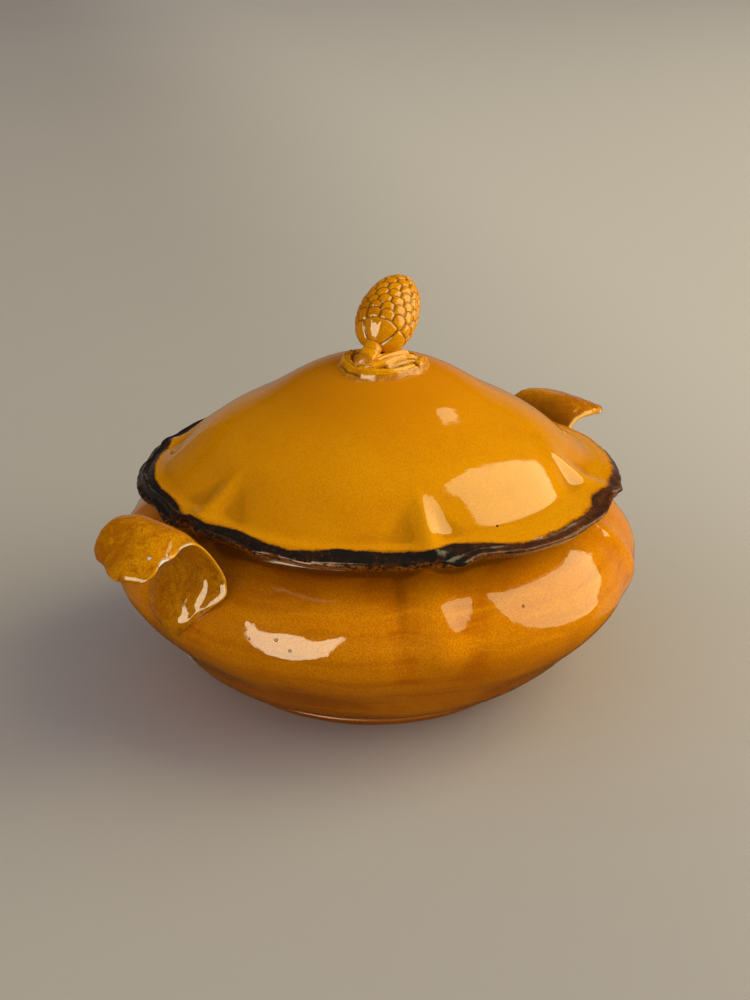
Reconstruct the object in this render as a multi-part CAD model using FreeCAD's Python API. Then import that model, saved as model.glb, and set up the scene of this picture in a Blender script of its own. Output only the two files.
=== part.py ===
import FreeCAD, Part
import math
import os
from FreeCAD import Vector

# Six-lobed lidded soup tureen in glazed earthenware.
# Millimetres, +Z up, origin at the centre of the foot's underside.
# The two leaf handles lie on the X axis; the left one of the photo is on -X.

# ---------------------------------------------------------------- dimensions
BOWL_MAX_R = 120.0        # widest radius of the pot, at BOWL_MAX_Z
BOWL_MAX_Z = 57.0
FOOT_R = 72.0             # foot ring outside radius at its top
FOOT_INNER_R = 58.0
FOOT_H = 3.6
MOUTH_R = 90.0            # clear radius of the bowl's mouth
LIP_Z = 93.2              # top of the lip
SEAT_GAP = 0.3            # lid underside above the lip
LID_RIM_R = 109.0         # scalloped lid edge, radius in the middle of a lobe
# one value per rib, at 0, 60, ... 300 degrees from +X
LID_RIM_DIPS = [5.6, 5.2, 2.6, 5.6, 4.6, 5.0]   # how far the edge draws in at a rib
LID_TIPS = [4.6, 4.4, 2.2, 4.4, 6.2, 4.4]       # how far each pinched tip stands out again
LID_TIP_WIDTH = 4.2       # half width of a tip, degrees
LID_TOP_Z = 146.6         # crown of the dome under the finial
RIM_BAND = 6.8            # width of the dark edge moulding
FLANGE_R = 86.0           # locating ring under the lid
FLANGE_INNER_R = 81.0
FLANGE_DEPTH = 8.3
LID_SHIFT = 2.4           # the loose lid rests this far off centre ...
LID_SHIFT_DIR = -46.0     # ... in this plan direction, degrees from +X
LID_TURN = -4.0           # the lid's ribs against the handles' line, degrees
BOWL_TURN = -2.5          # the bowl's ribs against the handles' line, degrees
HANDLE_THICK = 5.6
HANDLE_HALF_W = 20.0      # half width of the leaf at its crest
FINIAL_OFFSET = 3.2       # finial centre from the lid's centre, same direction
CONE_LEN = 40.4
CONE_R = 13.2
CONE_AXIS = (0.345, -0.764, 0.545)  # along the lean, towards the front, up
CONE_FOOT = (-5.2, 8.0, 154.2)      # middle of the cone's blunt end
AROUND = 120              # points around a lobed ring

RAD = math.pi / 180.0
SX = LID_SHIFT * math.cos(LID_SHIFT_DIR * RAD)
SY = LID_SHIFT * math.sin(LID_SHIFT_DIR * RAD)
FX = (LID_SHIFT + FINIAL_OFFSET) * math.cos(LID_SHIFT_DIR * RAD)
FY = (LID_SHIFT + FINIAL_OFFSET) * math.sin(LID_SHIFT_DIR * RAD)


# ---------------------------------------------------------------- small maths
def smooth(a, b, x):
    """0 below a, 1 above b, smooth between."""
    t = (x - a) / (b - a)
    t = 0.0 if t < 0 else 1.0 if t > 1 else t
    return t * t * (3 - 2 * t)


def natural_spline(points):
    """Natural cubic spline through plane or space points, chord-length
    parameter scaled to 0..1. Returns a function of t."""
    n = len(points)
    dim = len(points[0])
    t = [0.0]
    for p, q in zip(points, points[1:]):
        t.append(t[-1] + math.sqrt(sum((a - b) ** 2 for a, b in zip(p, q))))
    total = t[-1]
    t = [v / total for v in t]
    h = [t[i + 1] - t[i] for i in range(n - 1)]
    second = []
    for d in range(dim):
        y = [p[d] for p in points]
        lo = [0.0] * n
        di = [1.0] * n
        up = [0.0] * n
        rh = [0.0] * n
        for i in range(1, n - 1):
            lo[i] = h[i - 1]
            di[i] = 2 * (h[i - 1] + h[i])
            up[i] = h[i]
            rh[i] = 6 * ((y[i + 1] - y[i]) / h[i] - (y[i] - y[i - 1]) / h[i - 1])
        for i in range(1, n):
            w = lo[i] / di[i - 1]
            di[i] -= w * up[i - 1]
            rh[i] -= w * rh[i - 1]
        m = [0.0] * n
        m[-1] = rh[-1] / di[-1]
        for i in range(n - 2, -1, -1):
            m[i] = (rh[i] - up[i] * m[i + 1]) / di[i]
        second.append(m)

    def value(s):
        s = 0.0 if s < 0 else 1.0 if s > 1 else s
        i = 0
        while i < n - 2 and s > t[i + 1]:
            i += 1
        a = (t[i + 1] - s) / h[i]
        b = 1 - a
        out = []
        for d in range(dim):
            m = second[d]
            out.append(a * points[i][d] + b * points[i + 1][d]
                       + ((a ** 3 - a) * m[i] + (b ** 3 - b) * m[i + 1]) * h[i] ** 2 / 6)
        return out
    return value


def even_samples(points, count):
    """count points at even arc length along the spline through points."""
    f = natural_spline(points)
    fine = [f(i / 800.0) for i in range(801)]
    s = [0.0]
    for p, q in zip(fine, fine[1:]):
        s.append(s[-1] + math.sqrt(sum((a - b) ** 2 for a, b in zip(p, q))))
    out = []
    k = 0
    for i in range(count):
        want = s[-1] * i / (count - 1)
        while k < 799 and s[k + 1] < want:
            k += 1
        w = (want - s[k]) / max(s[k + 1] - s[k], 1e-12)
        out.append([a + (b - a) * w for a, b in zip(fine[k], fine[k + 1])])
    return out


# ---------------------------------------------------------------- lobes, ribs
def rib_angle(deg):
    """Signed degrees from the nearest of the six ribs."""
    a = deg % 60.0
    return a - 60.0 if a > 30.0 else a


def draw_in(deg):
    """1 at a rib, 0 in the middle of a lobe."""
    return ((1 + math.cos(6 * rib_angle(deg) * RAD)) / 2) ** 2


def ridge(deg, width):
    return math.exp(-(rib_angle(deg) / width) ** 2)


def bowl_point(r, z, deg):
    """Outer or inner bowl wall: mean profile point to lobed space point."""
    lobe = smooth(10, 50, z) * (1 - 0.7 * smooth(84, 92, z))
    rr = r - 1.6 * lobe * draw_in(deg - BOWL_TURN)
    rr += 2.4 * smooth(34, 66, z) * (1 - 0.8 * smooth(84, 91, z)) * ridge(deg - BOWL_TURN, 4.0)
    return Vector(rr * math.cos(deg * RAD), rr * math.sin(deg * RAD), z)


def bowl_inner_point(r, z, deg):
    lobe = smooth(10, 50, z) * (1 - 0.9 * smooth(78, 90, z))
    rr = r - 1.6 * lobe * draw_in(deg - BOWL_TURN)
    return Vector(rr * math.cos(deg * RAD), rr * math.sin(deg * RAD), z)


def rim_radius(deg):
    deg = deg - LID_TURN
    k = int(round((deg % 360.0) / 60.0)) % 6
    return LID_RIM_R - LID_RIM_DIPS[k] * draw_in(deg) + LID_TIPS[k] * ridge(deg, LID_TIP_WIDTH)


def lid_point(r, z, deg, weight, lift):
    """Lid surface point: weight blends the round dome into the lobed edge,
    lift raises the ribs."""
    rr = r + weight * (rim_radius(deg) - LID_RIM_R)
    zz = z + lift * (ridge(deg - LID_TURN, 3.6) - 0.35 * ridge(deg - LID_TURN, 9.0))
    return Vector(SX + rr * math.cos(deg * RAD), SY + rr * math.sin(deg * RAD), zz)


# ---------------------------------------------------------------- surfaces
def find_basis(knots, degree, count, t):
    """All B-spline basis values at t (knots with repetitions)."""
    if t >= knots[-1]:
        return [0.0] * (count - 1) + [1.0]
    b = [1.0 if knots[i] <= t < knots[i + 1] else 0.0 for i in range(len(knots) - 1)]
    for d in range(1, degree + 1):
        nb = []
        for i in range(len(knots) - 1 - d):
            v = 0.0
            if knots[i + d] > knots[i]:
                v += (t - knots[i]) / (knots[i + d] - knots[i]) * b[i]
            if knots[i + d + 1] > knots[i + 1]:
                v += (knots[i + d + 1] - t) / (knots[i + d + 1] - knots[i + 1]) * b[i + 1]
            nb.append(v)
        b = nb
    return b[:count]


def inverse(a):
    n = len(a)
    m = [row[:] + [1.0 if i == j else 0.0 for j in range(n)] for i, row in enumerate(a)]
    for c in range(n):
        p = max(range(c, n), key=lambda k: abs(m[k][c]))
        m[c], m[p] = m[p], m[c]
        d = m[c][c]
        m[c] = [v / d for v in m[c]]
        for k in range(n):
            if k != c and m[k][c] != 0.0:
                f = m[k][c]
                m[k] = [x - f * y for x, y in zip(m[k], m[c])]
    return [row[n:] for row in m]


def closed_poles(ring):
    """Poles of the uniform periodic cubic through a closed ring of points.
    Pole i+1 belongs to point i, so that point 0 lies at parameter 0."""
    n = len(ring)
    z = math.sqrt(3) - 2
    out = []
    for d in range(3):
        y = [p[d] for p in ring]
        # two recursive passes invert the (1, 4, 1)/6 filter on a ring
        reach = min(n, 60)
        c = [0.0] * n
        s = sum((z ** k) * y[(-k) % n] for k in range(reach))
        c[0] = s / (1 - z ** n) if n < 60 else s
        for i in range(1, n):
            c[i] = y[i] + z * c[i - 1]
        e = [0.0] * n
        s = sum((z ** k) * c[(n - 1 + k) % n] for k in range(reach))
        s = s / (1 - z ** n) if n < 60 else s
        e[n - 1] = -z * s
        for i in range(n - 2, -1, -1):
            e[i] = z * (e[i + 1] - c[i])
        out.append([6.0 * v for v in e])
    return [Vector(out[0][i], out[1][i], out[2][i]) for i in range(n)]


def band(rings):
    """Face through a list of closed rings of equal point count."""
    m = len(rings)
    n = len(rings[0])
    rows = [closed_poles(r) for r in rings]
    rows = [[row[(i - 1) % n] for i in range(n)] for row in rows]
    if m < 4:
        degree = 1
        knots = list(range(m))
        mults = [2] + [1] * (m - 2) + [2]
        poles = rows
    else:
        degree = 3
        inner = list(range(2, m - 2))
        knots = [0] + inner + [m - 1]
        mults = [4] + [1] * len(inner) + [4]
        full = [0.0] * 4 + [float(v) for v in inner] + [float(m - 1)] * 4
        inv = inverse([find_basis(full, 3, m, float(j)) for j in range(m)])
        poles = []
        for j in range(m):
            line = []
            for i in range(n):
                x = y = z = 0.0
                for k in range(m):
                    w = inv[j][k]
                    if w:
                        v = rows[k][i]
                        x += w * v.x
                        y += w * v.y
                        z += w * v.z
                line.append(Vector(x, y, z))
            poles.append(line)
    s = Part.BSplineSurface()
    grid = [[poles[j][i] for j in range(m)] for i in range(n)]
    s.buildFromPolesMultsKnots(grid, [1] * (n + 1), mults,
                               [float(i) for i in range(n + 1)],
                               [float(k) for k in knots], True, False, 3, degree)
    return s


def cap(surface, last):
    """Flat face on the first or last ring of a band."""
    v = surface.bounds()[3 if last else 2]
    return Part.Face(Part.Wire([surface.vIso(v).toShape()]))


def closed_solid(faces, name):
    shape = Part.makeCompound(faces)
    shape.sewShape(0.002)
    shells = shape.Shells
    if len(shells) != 1:
        raise RuntimeError("%s: %d shells" % (name, len(shells)))
    solid = Part.makeSolid(shells[0])
    if solid.Volume < 0:
        solid.reverse()
    if not solid.isValid():
        solid.fix(0.001, 0.001, 0.01)
    print("%-18s volume %9.0f mm3  valid %s" % (name, solid.Volume, solid.isValid()))
    return solid


def ring_of(point, r, z, **more):
    return [point(r, z, 360.0 * i / AROUND, **more) for i in range(AROUND)]


def one_solid(shape, name):
    """Largest solid of a cut."""
    solids = sorted(shape.Solids, key=lambda s: -s.Volume)
    if len(solids) > 1:
        print("  %s: dropped %s" % (name, [round(s.Volume, 2) for s in solids[1:]]))
    solid = solids[0]
    print("%-18s volume %9.0f mm3  valid %s" % (name, solid.Volume, solid.isValid()))
    return solid


# ---------------------------------------------------------------- bowl
OUTER = [(72.2, 3.6), (74.8, 5.2), (78.2, 7.3), (82.6, 9.9), (91.0, 16.2), (101.6, 28.0),
         (109.4, 36.0), (115.4, 43.5), (119.0, 50.5), (120.0, 57.0), (118.2, 64.0),
         (113.4, 70.6), (106.0, 77.0), (99.2, 81.8), (96.0, 85.2), (95.2, 88.4),
         (95.2, 91.2)]
LIP = [(95.2, 91.2), (94.4, 92.7), (92.6, 93.2), (90.8, 92.7), (90.0, 91.2)]
INNER = [(90.0, 91.2), (90.0, 88.2), (91.0, 84.4), (94.6, 80.2), (101.4, 75.0),
         (107.6, 69.0), (111.6, 62.8), (113.0, 56.6), (112.0, 50.8), (108.4, 44.6),
         (102.2, 37.4), (94.4, 29.2), (84.6, 19.6), (76.0, 13.4), (65.0, 10.4),
         (48.0, 9.6), (26.0, 9.4), (5.0, 9.4)]

outer_face = band([ring_of(bowl_point, r, z) for r, z in even_samples(OUTER, 30)])
lip_outer = [ring_of(bowl_point, *LIP[0])]
lip_rings = []
for k, (r, z) in enumerate(even_samples(LIP, 9)):
    w = k / 8.0
    a = ring_of(bowl_point, r, z)
    b = ring_of(bowl_inner_point, r, z)
    lip_rings.append([p * (1 - w) + q * w for p, q in zip(a, b)])
lip_face = band(lip_rings)
inner_face = band([ring_of(bowl_inner_point, r, z) for r, z in even_samples(INNER, 34)])
bowl = closed_solid([outer_face.toShape(), lip_face.toShape(), inner_face.toShape(),
                     cap(outer_face, False), cap(inner_face, True)], "tureen_bowl")

# ---------------------------------------------------------------- foot ring
foot_outline = [(FOOT_INNER_R, FOOT_H), (FOOT_INNER_R + 1.2, 0.8), (FOOT_INNER_R + 2.6, 0.0),
                (FOOT_R - 1.4, 0.0), (FOOT_R - 0.6, 0.6), (FOOT_R, FOOT_H)]
foot_wire = Part.makePolygon([Vector(r, 0, z) for r, z in foot_outline + foot_outline[:1]])
foot = Part.Face(foot_wire).revolve(Vector(0, 0, 0), Vector(0, 0, 1), 360)
foot = foot if foot.ShapeType == "Solid" else foot.Solids[0]
print("%-18s volume %9.0f mm3  valid %s" % ("foot_ring", foot.Volume, foot.isValid()))

# ---------------------------------------------------------------- leaf handles
# Middle line of the leaf as (distance from the pot's axis, height): it lies on
# the shoulder, leans away from the neck, then curls out over its crest.
LEAF_FOOT = [(117.0, 53.5), (119.6, 58.5), (118.4, 65.0), (114.4, 71.2), (111.2, 77.5)]
LEFT_LINE = LEAF_FOOT + [(111.4, 84.0), (114.2, 91.0), (118.4, 97.4), (123.8, 101.8),
                         (130.0, 103.0), (136.6, 101.2), (143.0, 97.2), (148.8, 92.0)]
RIGHT_LINE = LEAF_FOOT + [(111.6, 82.4), (114.8, 87.4), (119.6, 91.4), (125.6, 94.0),
                          (132.4, 94.6), (139.4, 93.4), (146.4, 91.0), (152.8, 87.8)]
LEAF_HALF = [(0.0, 6.0), (0.045, 13.0), (0.10, 18.2), (0.17, 22.0), (0.25, 23.6),
             (0.36, 23.2), (0.50, 21.4), (0.62, 20.4), (0.75, 20.2), (0.86, 19.8),
             (0.93, 18.4), (0.97, 16.0), (1.0, 12.0)]
LEAF_BEND = [(0.0, 0.6), (0.15, 3.2), (0.35, 4.0), (0.55, 1.6), (0.70, 0.6), (1.0, 1.6)]


def table(rows, x):
    if x <= rows[0][0]:
        return rows[0][1]
    for (a, p), (b, q) in zip(rows, rows[1:]):
        if x <= b:
            return p + (q - p) * (x - a) / (b - a)
    return rows[-1][1]


def smooth_table(rows, x):
    """Table value averaged over a short window, so that it has no corners."""
    h = 0.03
    return sum(table(rows, min(1.0, max(0.0, x + h * k / 4.0))) for k in range(-4, 5)) / 9.0


def leaf_rings(points, sign, near_drop, far_drop, shift):
    """Closed section rings of a leaf handle on the +X (sign 1) or -X side.
    near_drop and far_drop lower the crest towards the -Y and +Y edges."""
    line = natural_spline(points)
    rings = []
    count = 30
    loop = 40
    for j in range(count):
        u = j / (count - 1.0)
        x, z = line(u)
        x1, z1 = line(min(1.0, u + 0.004))
        x0, z0 = line(max(0.0, u - 0.004))
        length = math.hypot(x1 - x0, z1 - z0)
        tx, tz = (x1 - x0) / length, (z1 - z0) / length
        nx, nz = tz, -tx                     # points away from the pot on the rise
        half = smooth_table(LEAF_HALF, u) if 0 < j < count - 1 else table(LEAF_HALF, u)
        thick = HANDLE_THICK * (0.62 + 0.38 * smooth(0.0, 0.12, u)) \
            * (1 - 0.30 * smooth(0.85, 1.0, u))
        bend = smooth_table(LEAF_BEND, u)
        ring = []
        for i in range(loop):
            a = 2 * math.pi * i / loop
            c, s = math.cos(a), math.sin(a)
            v = math.copysign(abs(c) ** 0.75, c)
            t = math.copysign(abs(s) ** 0.55, s)
            y = v * half
            drop = (near_drop if v < 0 else far_drop) * abs(v) ** 2.2 * smooth(78, 100, z)
            px = x + nx * thick / 2 * t - bend * v * v
            pz = z + nz * thick / 2 * t
            pz = pz - drop * max(0.0, pz - 78.0) / 25.0
            ring.append([sign * px, y + shift, pz])
        if j in (0, count - 1):
            # end sections are made flat, square to the middle line
            o = [sum(p[d] for p in ring) / loop for d in range(3)]
            nrm = (sign * tx, 0.0, tz)
            for p in ring:
                k = sum((p[d] - o[d]) * nrm[d] for d in range(3))
                for d in range(3):
                    p[d] -= k * nrm[d]
        rings.append([Vector(*p) for p in ring])
    return rings


def leaf(points, sign, near_drop, far_drop, shift, name):
    s = band(leaf_rings(points, sign, near_drop, far_drop, shift))
    return closed_solid([s.toShape(), cap(s, False), cap(s, True)], name)


left_raw = leaf(LEFT_LINE, -1, 0.5, 0.5, 1.5, "left leaf, whole")
right_raw = leaf(RIGHT_LINE, 1, 6.0, 0.5, -1.5, "right leaf, whole")
handle_left = one_solid(left_raw.cut(bowl), "leaf_handle_left")
handle_right = one_solid(right_raw.cut(bowl), "leaf_handle_right")

# ---------------------------------------------------------------- lid
JOIN_R = LID_RIM_R - RIM_BAND
JOIN_Z = 98.3
LID_BOTTOM = LIP_Z + SEAT_GAP
DOME = [(4.0, 146.6), (12.0, 146.1), (21.0, 144.5), (30.0, 141.5), (38.0, 137.5),
        (46.0, 132.6), (54.0, 127.7), (62.0, 123.4), (70.0, 119.0), (78.0, 113.8),
        (85.0, 108.2), (91.0, 103.2), (96.5, 99.7), (JOIN_R, JOIN_Z)]
UNDER = [(FLANGE_INNER_R, LID_BOTTOM), (79.4, 97.0), (75.6, 102.6), (70.0, 107.8),
         (62.0, 113.0), (54.0, 117.6), (46.0, 122.4), (38.0, 127.4), (30.0, 132.0),
         (21.0, 135.6), (12.0, 137.2), (4.0, 137.6)]


def dome_point(r, z, deg):
    w = smooth(70, JOIN_R, r)
    lift = 2.0 * smooth(74, 92, r) * (1 - 0.55 * smooth(95, JOIN_R, r))
    return lid_point(r, z, deg, w, lift)


def under_point(r, z, deg):
    return Vector(SX + r * math.cos(deg * RAD), SY + r * math.sin(deg * RAD), z)


dome_face = band([ring_of(dome_point, r, z) for r, z in even_samples(DOME, 30)])
join_top = ring_of(dome_point, JOIN_R, JOIN_Z)
join_low = [Vector(p.x, p.y, LID_BOTTOM) for p in join_top]
seat_in = ring_of(under_point, FLANGE_INNER_R, LID_BOTTOM)
wall_face = band([join_top, join_low])
seat_face = band([join_low, seat_in])
under_face = band([ring_of(under_point, r, z) for r, z in even_samples(UNDER, 24)])
lid = closed_solid([dome_face.toShape(), wall_face.toShape(), seat_face.toShape(),
                    under_face.toShape(), cap(dome_face, False), cap(under_face, True)],
                   "lid_dome")

# dark edge moulding: offsets from the scalloped outline, upper and lower bead
EDGE = [(-RIM_BAND, JOIN_Z), (-5.7, 98.75), (-4.5, 98.8), (-3.4, 98.0), (-2.4, 97.6),
        (-1.2, 97.2), (-0.3, 96.1), (0.0, 94.7), (-0.5, 93.0), (-1.8, 92.0),
        (-3.4, 91.9), (-5.2, 92.6), (-RIM_BAND, LID_BOTTOM)]


def edge_point(off, z, deg):
    lift = (0.9 * smooth(94, 98, z)) * smooth(-RIM_BAND, -3.0, off) \
        + 0.9 * (1 - smooth(-RIM_BAND, -3.0, off)) * smooth(94, 98, z)
    zz = z + lift * (ridge(deg - LID_TURN, 3.6) - 0.35 * ridge(deg - LID_TURN, 9.0))
    rr = rim_radius(deg) + off
    return Vector(SX + rr * math.cos(deg * RAD), SY + rr * math.sin(deg * RAD), zz)


edge_rings = [ring_of(edge_point, o, z) for o, z in even_samples(EDGE, 20)]
edge_rings[0] = join_top
edge_rings[-1] = join_low
edge_face = band(edge_rings)
rim = closed_solid([edge_face.toShape(), band([join_low, join_top]).toShape()], "lid_rim")

# locating ring under the lid, with softened lower edges
z0 = LID_BOTTOM
flange_outline = [(FLANGE_INNER_R, z0), (FLANGE_INNER_R + 0.4, z0 - FLANGE_DEPTH + 1.2),
                  (FLANGE_INNER_R + 1.6, z0 - FLANGE_DEPTH), (FLANGE_R - 1.8, z0 - FLANGE_DEPTH),
                  (FLANGE_R - 0.5, z0 - FLANGE_DEPTH + 1.4), (FLANGE_R, z0)]
flange_wire = Part.makePolygon([Vector(r, 0, z) for r, z in flange_outline + flange_outline[:1]])
flange = Part.Face(flange_wire).revolve(Vector(0, 0, 0), Vector(0, 0, 1), 360)
flange = flange if flange.ShapeType == "Solid" else flange.Solids[0]
flange.translate(Vector(SX, SY, 0))
print("%-18s volume %9.0f mm3  valid %s" % ("lid_flange", flange.Volume, flange.isValid()))

# ---------------------------------------------------------------- finial
# Places on the finial are given along the lean, towards the front and in height.
lean_dir = Vector(math.cos(LID_SHIFT_DIR * RAD), math.sin(LID_SHIFT_DIR * RAD), 0)
front_dir = Vector(lean_dir.y, -lean_dir.x, 0)


def finial_place(along, front, z):
    return Vector(FX, FY, z) + lean_dir * along + front_dir * front


dome_line = even_samples(DOME, 200)


def crown_height(along, front):
    """Height of the dome's outside near the crown."""
    r = math.hypot(along + FINIAL_OFFSET, front)
    if r <= dome_line[0][0]:
        return dome_line[0][1]
    for (r0, z0), (r1, z1) in zip(dome_line, dome_line[1:]):
        if r <= r1:
            return z0 + (z1 - z0) * (r - r0) / (r1 - r0)
    return dome_line[-1][1]


# Pad of twig and needles: an uneven low mound in front of the crown's middle.
# Its outline as angle from the lean towards the front, and reach from its centre.
PAD_CENTRE = (-0.9, 8.6)
PAD_REACH = [(15, 17.8), (37, 15.4), (65, 14.5), (96, 14.3), (121, 16.1), (134, 18.1),
             (147, 19.6), (164, 19.9), (180, 20.2), (201, 19.8), (214, 17.8), (232, 15.4),
             (255, 13.9), (280, 14.0), (303, 16.0), (323, 20.0), (338, 21.6), (352, 20.3)]
reach_line = natural_spline([(d - 360.0, r) for d, r in PAD_REACH[-4:]]
                            + [(float(d), r) for d, r in PAD_REACH]
                            + [(d + 360.0, r) for d, r in PAD_REACH[:4]])
reach_fine = [reach_line(k / 2000.0) for k in range(2001)]


def pad_reach(deg):
    deg = deg % 360.0
    return min(reach_fine, key=lambda q: abs(q[0] - deg))[1]


def pad_ring(part, lift):
    ring = []
    for k in range(48):
        d = 7.5 * k
        r = pad_reach(d) * part
        along = PAD_CENTRE[0] + r * math.cos(d * RAD)
        front = PAD_CENTRE[1] + r * math.sin(d * RAD)
        ring.append(finial_place(along, front, crown_height(along, front) + lift))
    return ring


PAD = [(0.92, -3.0), (0.985, -0.6), (1.0, 0.6), (0.985, 1.7), (0.93, 2.5), (0.82, 3.0),
       (0.62, 3.3), (0.40, 3.5), (0.20, 3.6)]
pad_rings = [pad_ring(f, h) for f, h in PAD]
# the innermost and outermost rings are made flat, to be closed by flat faces
for ring in (pad_rings[0], pad_rings[-1]):
    level = sum(q.z for q in ring) / len(ring)
    for q in ring:
        q.z = level
pad_face = band(pad_rings)
pad_raw = closed_solid([pad_face.toShape(), cap(pad_face, False), cap(pad_face, True)], "pad, whole")
pad = one_solid(pad_raw.cut(lid), "finial_base")

# Cone: it leans well back and to one side, its blunt end towards the front.
axis = (lean_dir * CONE_AXIS[0] + front_dir * CONE_AXIS[1] + Vector(0, 0, CONE_AXIS[2])).normalize()
cone_foot = finial_place(*CONE_FOOT)
CONE = [(2.4, 0.0), (4.6, 0.5), (7.2, 1.9), (9.5, 4.1), (11.2, 6.8), (12.3, 9.8),
        (12.95, 13.0), (CONE_R, 16.6), (12.9, 20.8), (11.9, 25.4), (10.1, 29.8), (7.7, 33.8),
        (5.0, 37.2), (2.6, 39.4), (0.9, CONE_LEN)]


def cone_ring(r, s):
    side = axis.cross(Vector(0, 0, 1)).normalize()
    other = axis.cross(side).normalize()
    o = cone_foot + axis * s
    return [o + side * (r * math.cos(15.0 * i * RAD)) + other * (r * math.sin(15.0 * i * RAD))
            for i in range(24)]


cone_face = band([cone_ring(r, s) for r, s in even_samples(CONE, 18)])
cone = closed_solid([cone_face.toShape(), cap(cone_face, False), cap(cone_face, True)], "pine_cone")

# Twig: rises from the pad at the front left and bends into the cone's base.
# Rows: along the lean, towards the front, height, radius.
STEM = [(-10.4, 12.9, 145.2, 5.8), (-9.8, 12.8, 147.4, 5.2), (-8.6, 12.3, 149.6, 4.5),
        (-7.0, 10.8, 151.8, 3.9), (-5.6, 8.6, 153.7, 3.5), (-4.4, 6.4, 155.3, 3.3)]


def stem_ring(p, q, r):
    """Circle of radius r at p, square to the direction q."""
    t = q.normalize()
    side = t.cross(Vector(0, 0, 1)).normalize()
    other = t.cross(side).normalize()
    return [p + side * (r * math.cos(15.0 * i * RAD)) + other * (r * math.sin(15.0 * i * RAD))
            for i in range(24)]


stem_line = natural_spline(STEM)
stem_rings = []
for j in range(10):
    u = j / 9.0
    row = stem_line(u)
    ahead = finial_place(*stem_line(min(1.0, u + 0.01))[:3])
    behind = finial_place(*stem_line(max(0.0, u - 0.01))[:3])
    stem_rings.append(stem_ring(finial_place(*row[:3]), ahead - behind, row[3]))
stem_face = band(stem_rings)
stem_raw = closed_solid([stem_face.toShape(), cap(stem_face, False), cap(stem_face, True)], "stem, whole")
stem = one_solid(stem_raw.cut(pad_raw).cut(cone).cut(lid), "finial_stem")
pad = one_solid(pad.cut(cone), "finial_base")

# ---------------------------------------------------------------- out
os.makedirs("parts", exist_ok=True)
for name, shape in (("tureen_bowl", bowl), ("foot_ring", foot),
                    ("leaf_handle_left", handle_left), ("leaf_handle_right", handle_right),
                    ("lid_dome", lid), ("lid_rim", rim), ("lid_flange", flange),
                    ("finial_base", pad), ("finial_stem", stem), ("pine_cone", cone)):
    shape.exportStep("parts/%s.step" % name)
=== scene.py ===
import bpy
import math
import numpy as np
from mathutils import Matrix


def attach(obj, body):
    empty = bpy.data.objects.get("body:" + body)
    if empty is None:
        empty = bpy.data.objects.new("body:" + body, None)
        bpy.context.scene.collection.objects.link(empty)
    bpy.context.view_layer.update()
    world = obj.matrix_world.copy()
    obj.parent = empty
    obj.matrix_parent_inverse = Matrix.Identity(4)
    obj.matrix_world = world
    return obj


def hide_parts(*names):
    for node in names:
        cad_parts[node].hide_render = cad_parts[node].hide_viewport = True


# Six-lobed lidded soup tureen in honey-amber glaze, with a dark moulded lid edge,
# a pine-cone knob on a twig and two curled leaf handles.
# Shapes are worked out in millimetres and stored in metres, in the frame's axes.

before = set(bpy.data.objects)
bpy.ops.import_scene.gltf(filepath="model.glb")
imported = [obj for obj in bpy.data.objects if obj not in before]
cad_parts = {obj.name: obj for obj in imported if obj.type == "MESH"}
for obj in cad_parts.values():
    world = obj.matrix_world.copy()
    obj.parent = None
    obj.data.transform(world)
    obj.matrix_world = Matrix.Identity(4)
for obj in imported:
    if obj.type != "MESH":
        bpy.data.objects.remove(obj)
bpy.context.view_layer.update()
scene = bpy.context.scene
MM = 0.001
RAD = math.pi / 180.0

# ---------------------------------------------------------------- dimensions
FOOT_R, FOOT_INNER_R, FOOT_H = 72.0, 58.0, 3.6
LIP_Z, SEAT_GAP = 93.2, 0.3
LID_BOTTOM = LIP_Z + SEAT_GAP
LID_RIM_R, RIM_BAND = 109.0, 6.8
LID_RIM_DIPS = np.array([5.6, 5.2, 2.6, 5.6, 4.6, 5.0])
LID_TIPS = np.array([4.6, 4.4, 2.2, 4.4, 6.2, 4.4])
LID_TIP_WIDTH = 4.2
JOIN_R, JOIN_Z = LID_RIM_R - RIM_BAND, 98.3
FLANGE_R, FLANGE_INNER_R, FLANGE_DEPTH = 86.0, 81.0, 8.3
LID_SHIFT, LID_SHIFT_DIR, FINIAL_OFFSET = 2.4, -46.0, 3.2
LID_TURN, BOWL_TURN = -4.0, -2.5
HANDLE_THICK = 5.6
LEAN = np.array([math.cos(LID_SHIFT_DIR * RAD), math.sin(LID_SHIFT_DIR * RAD), 0.0])
FRONT = np.array([LEAN[1], -LEAN[0], 0.0])
UP = np.array([0.0, 0.0, 1.0])
LID_AT = LEAN * LID_SHIFT
FINIAL_AT = LEAN * (LID_SHIFT + FINIAL_OFFSET)


# ---------------------------------------------------------------- small maths
def smooth(a, b, x):
    """0 below a, 1 above b, smooth between."""
    t = np.clip((np.asarray(x, float) - a) / (b - a), 0.0, 1.0)
    return t * t * (3 - 2 * t)


def bell(x, width):
    return np.exp(-(np.asarray(x, float) / width) ** 2)


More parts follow.
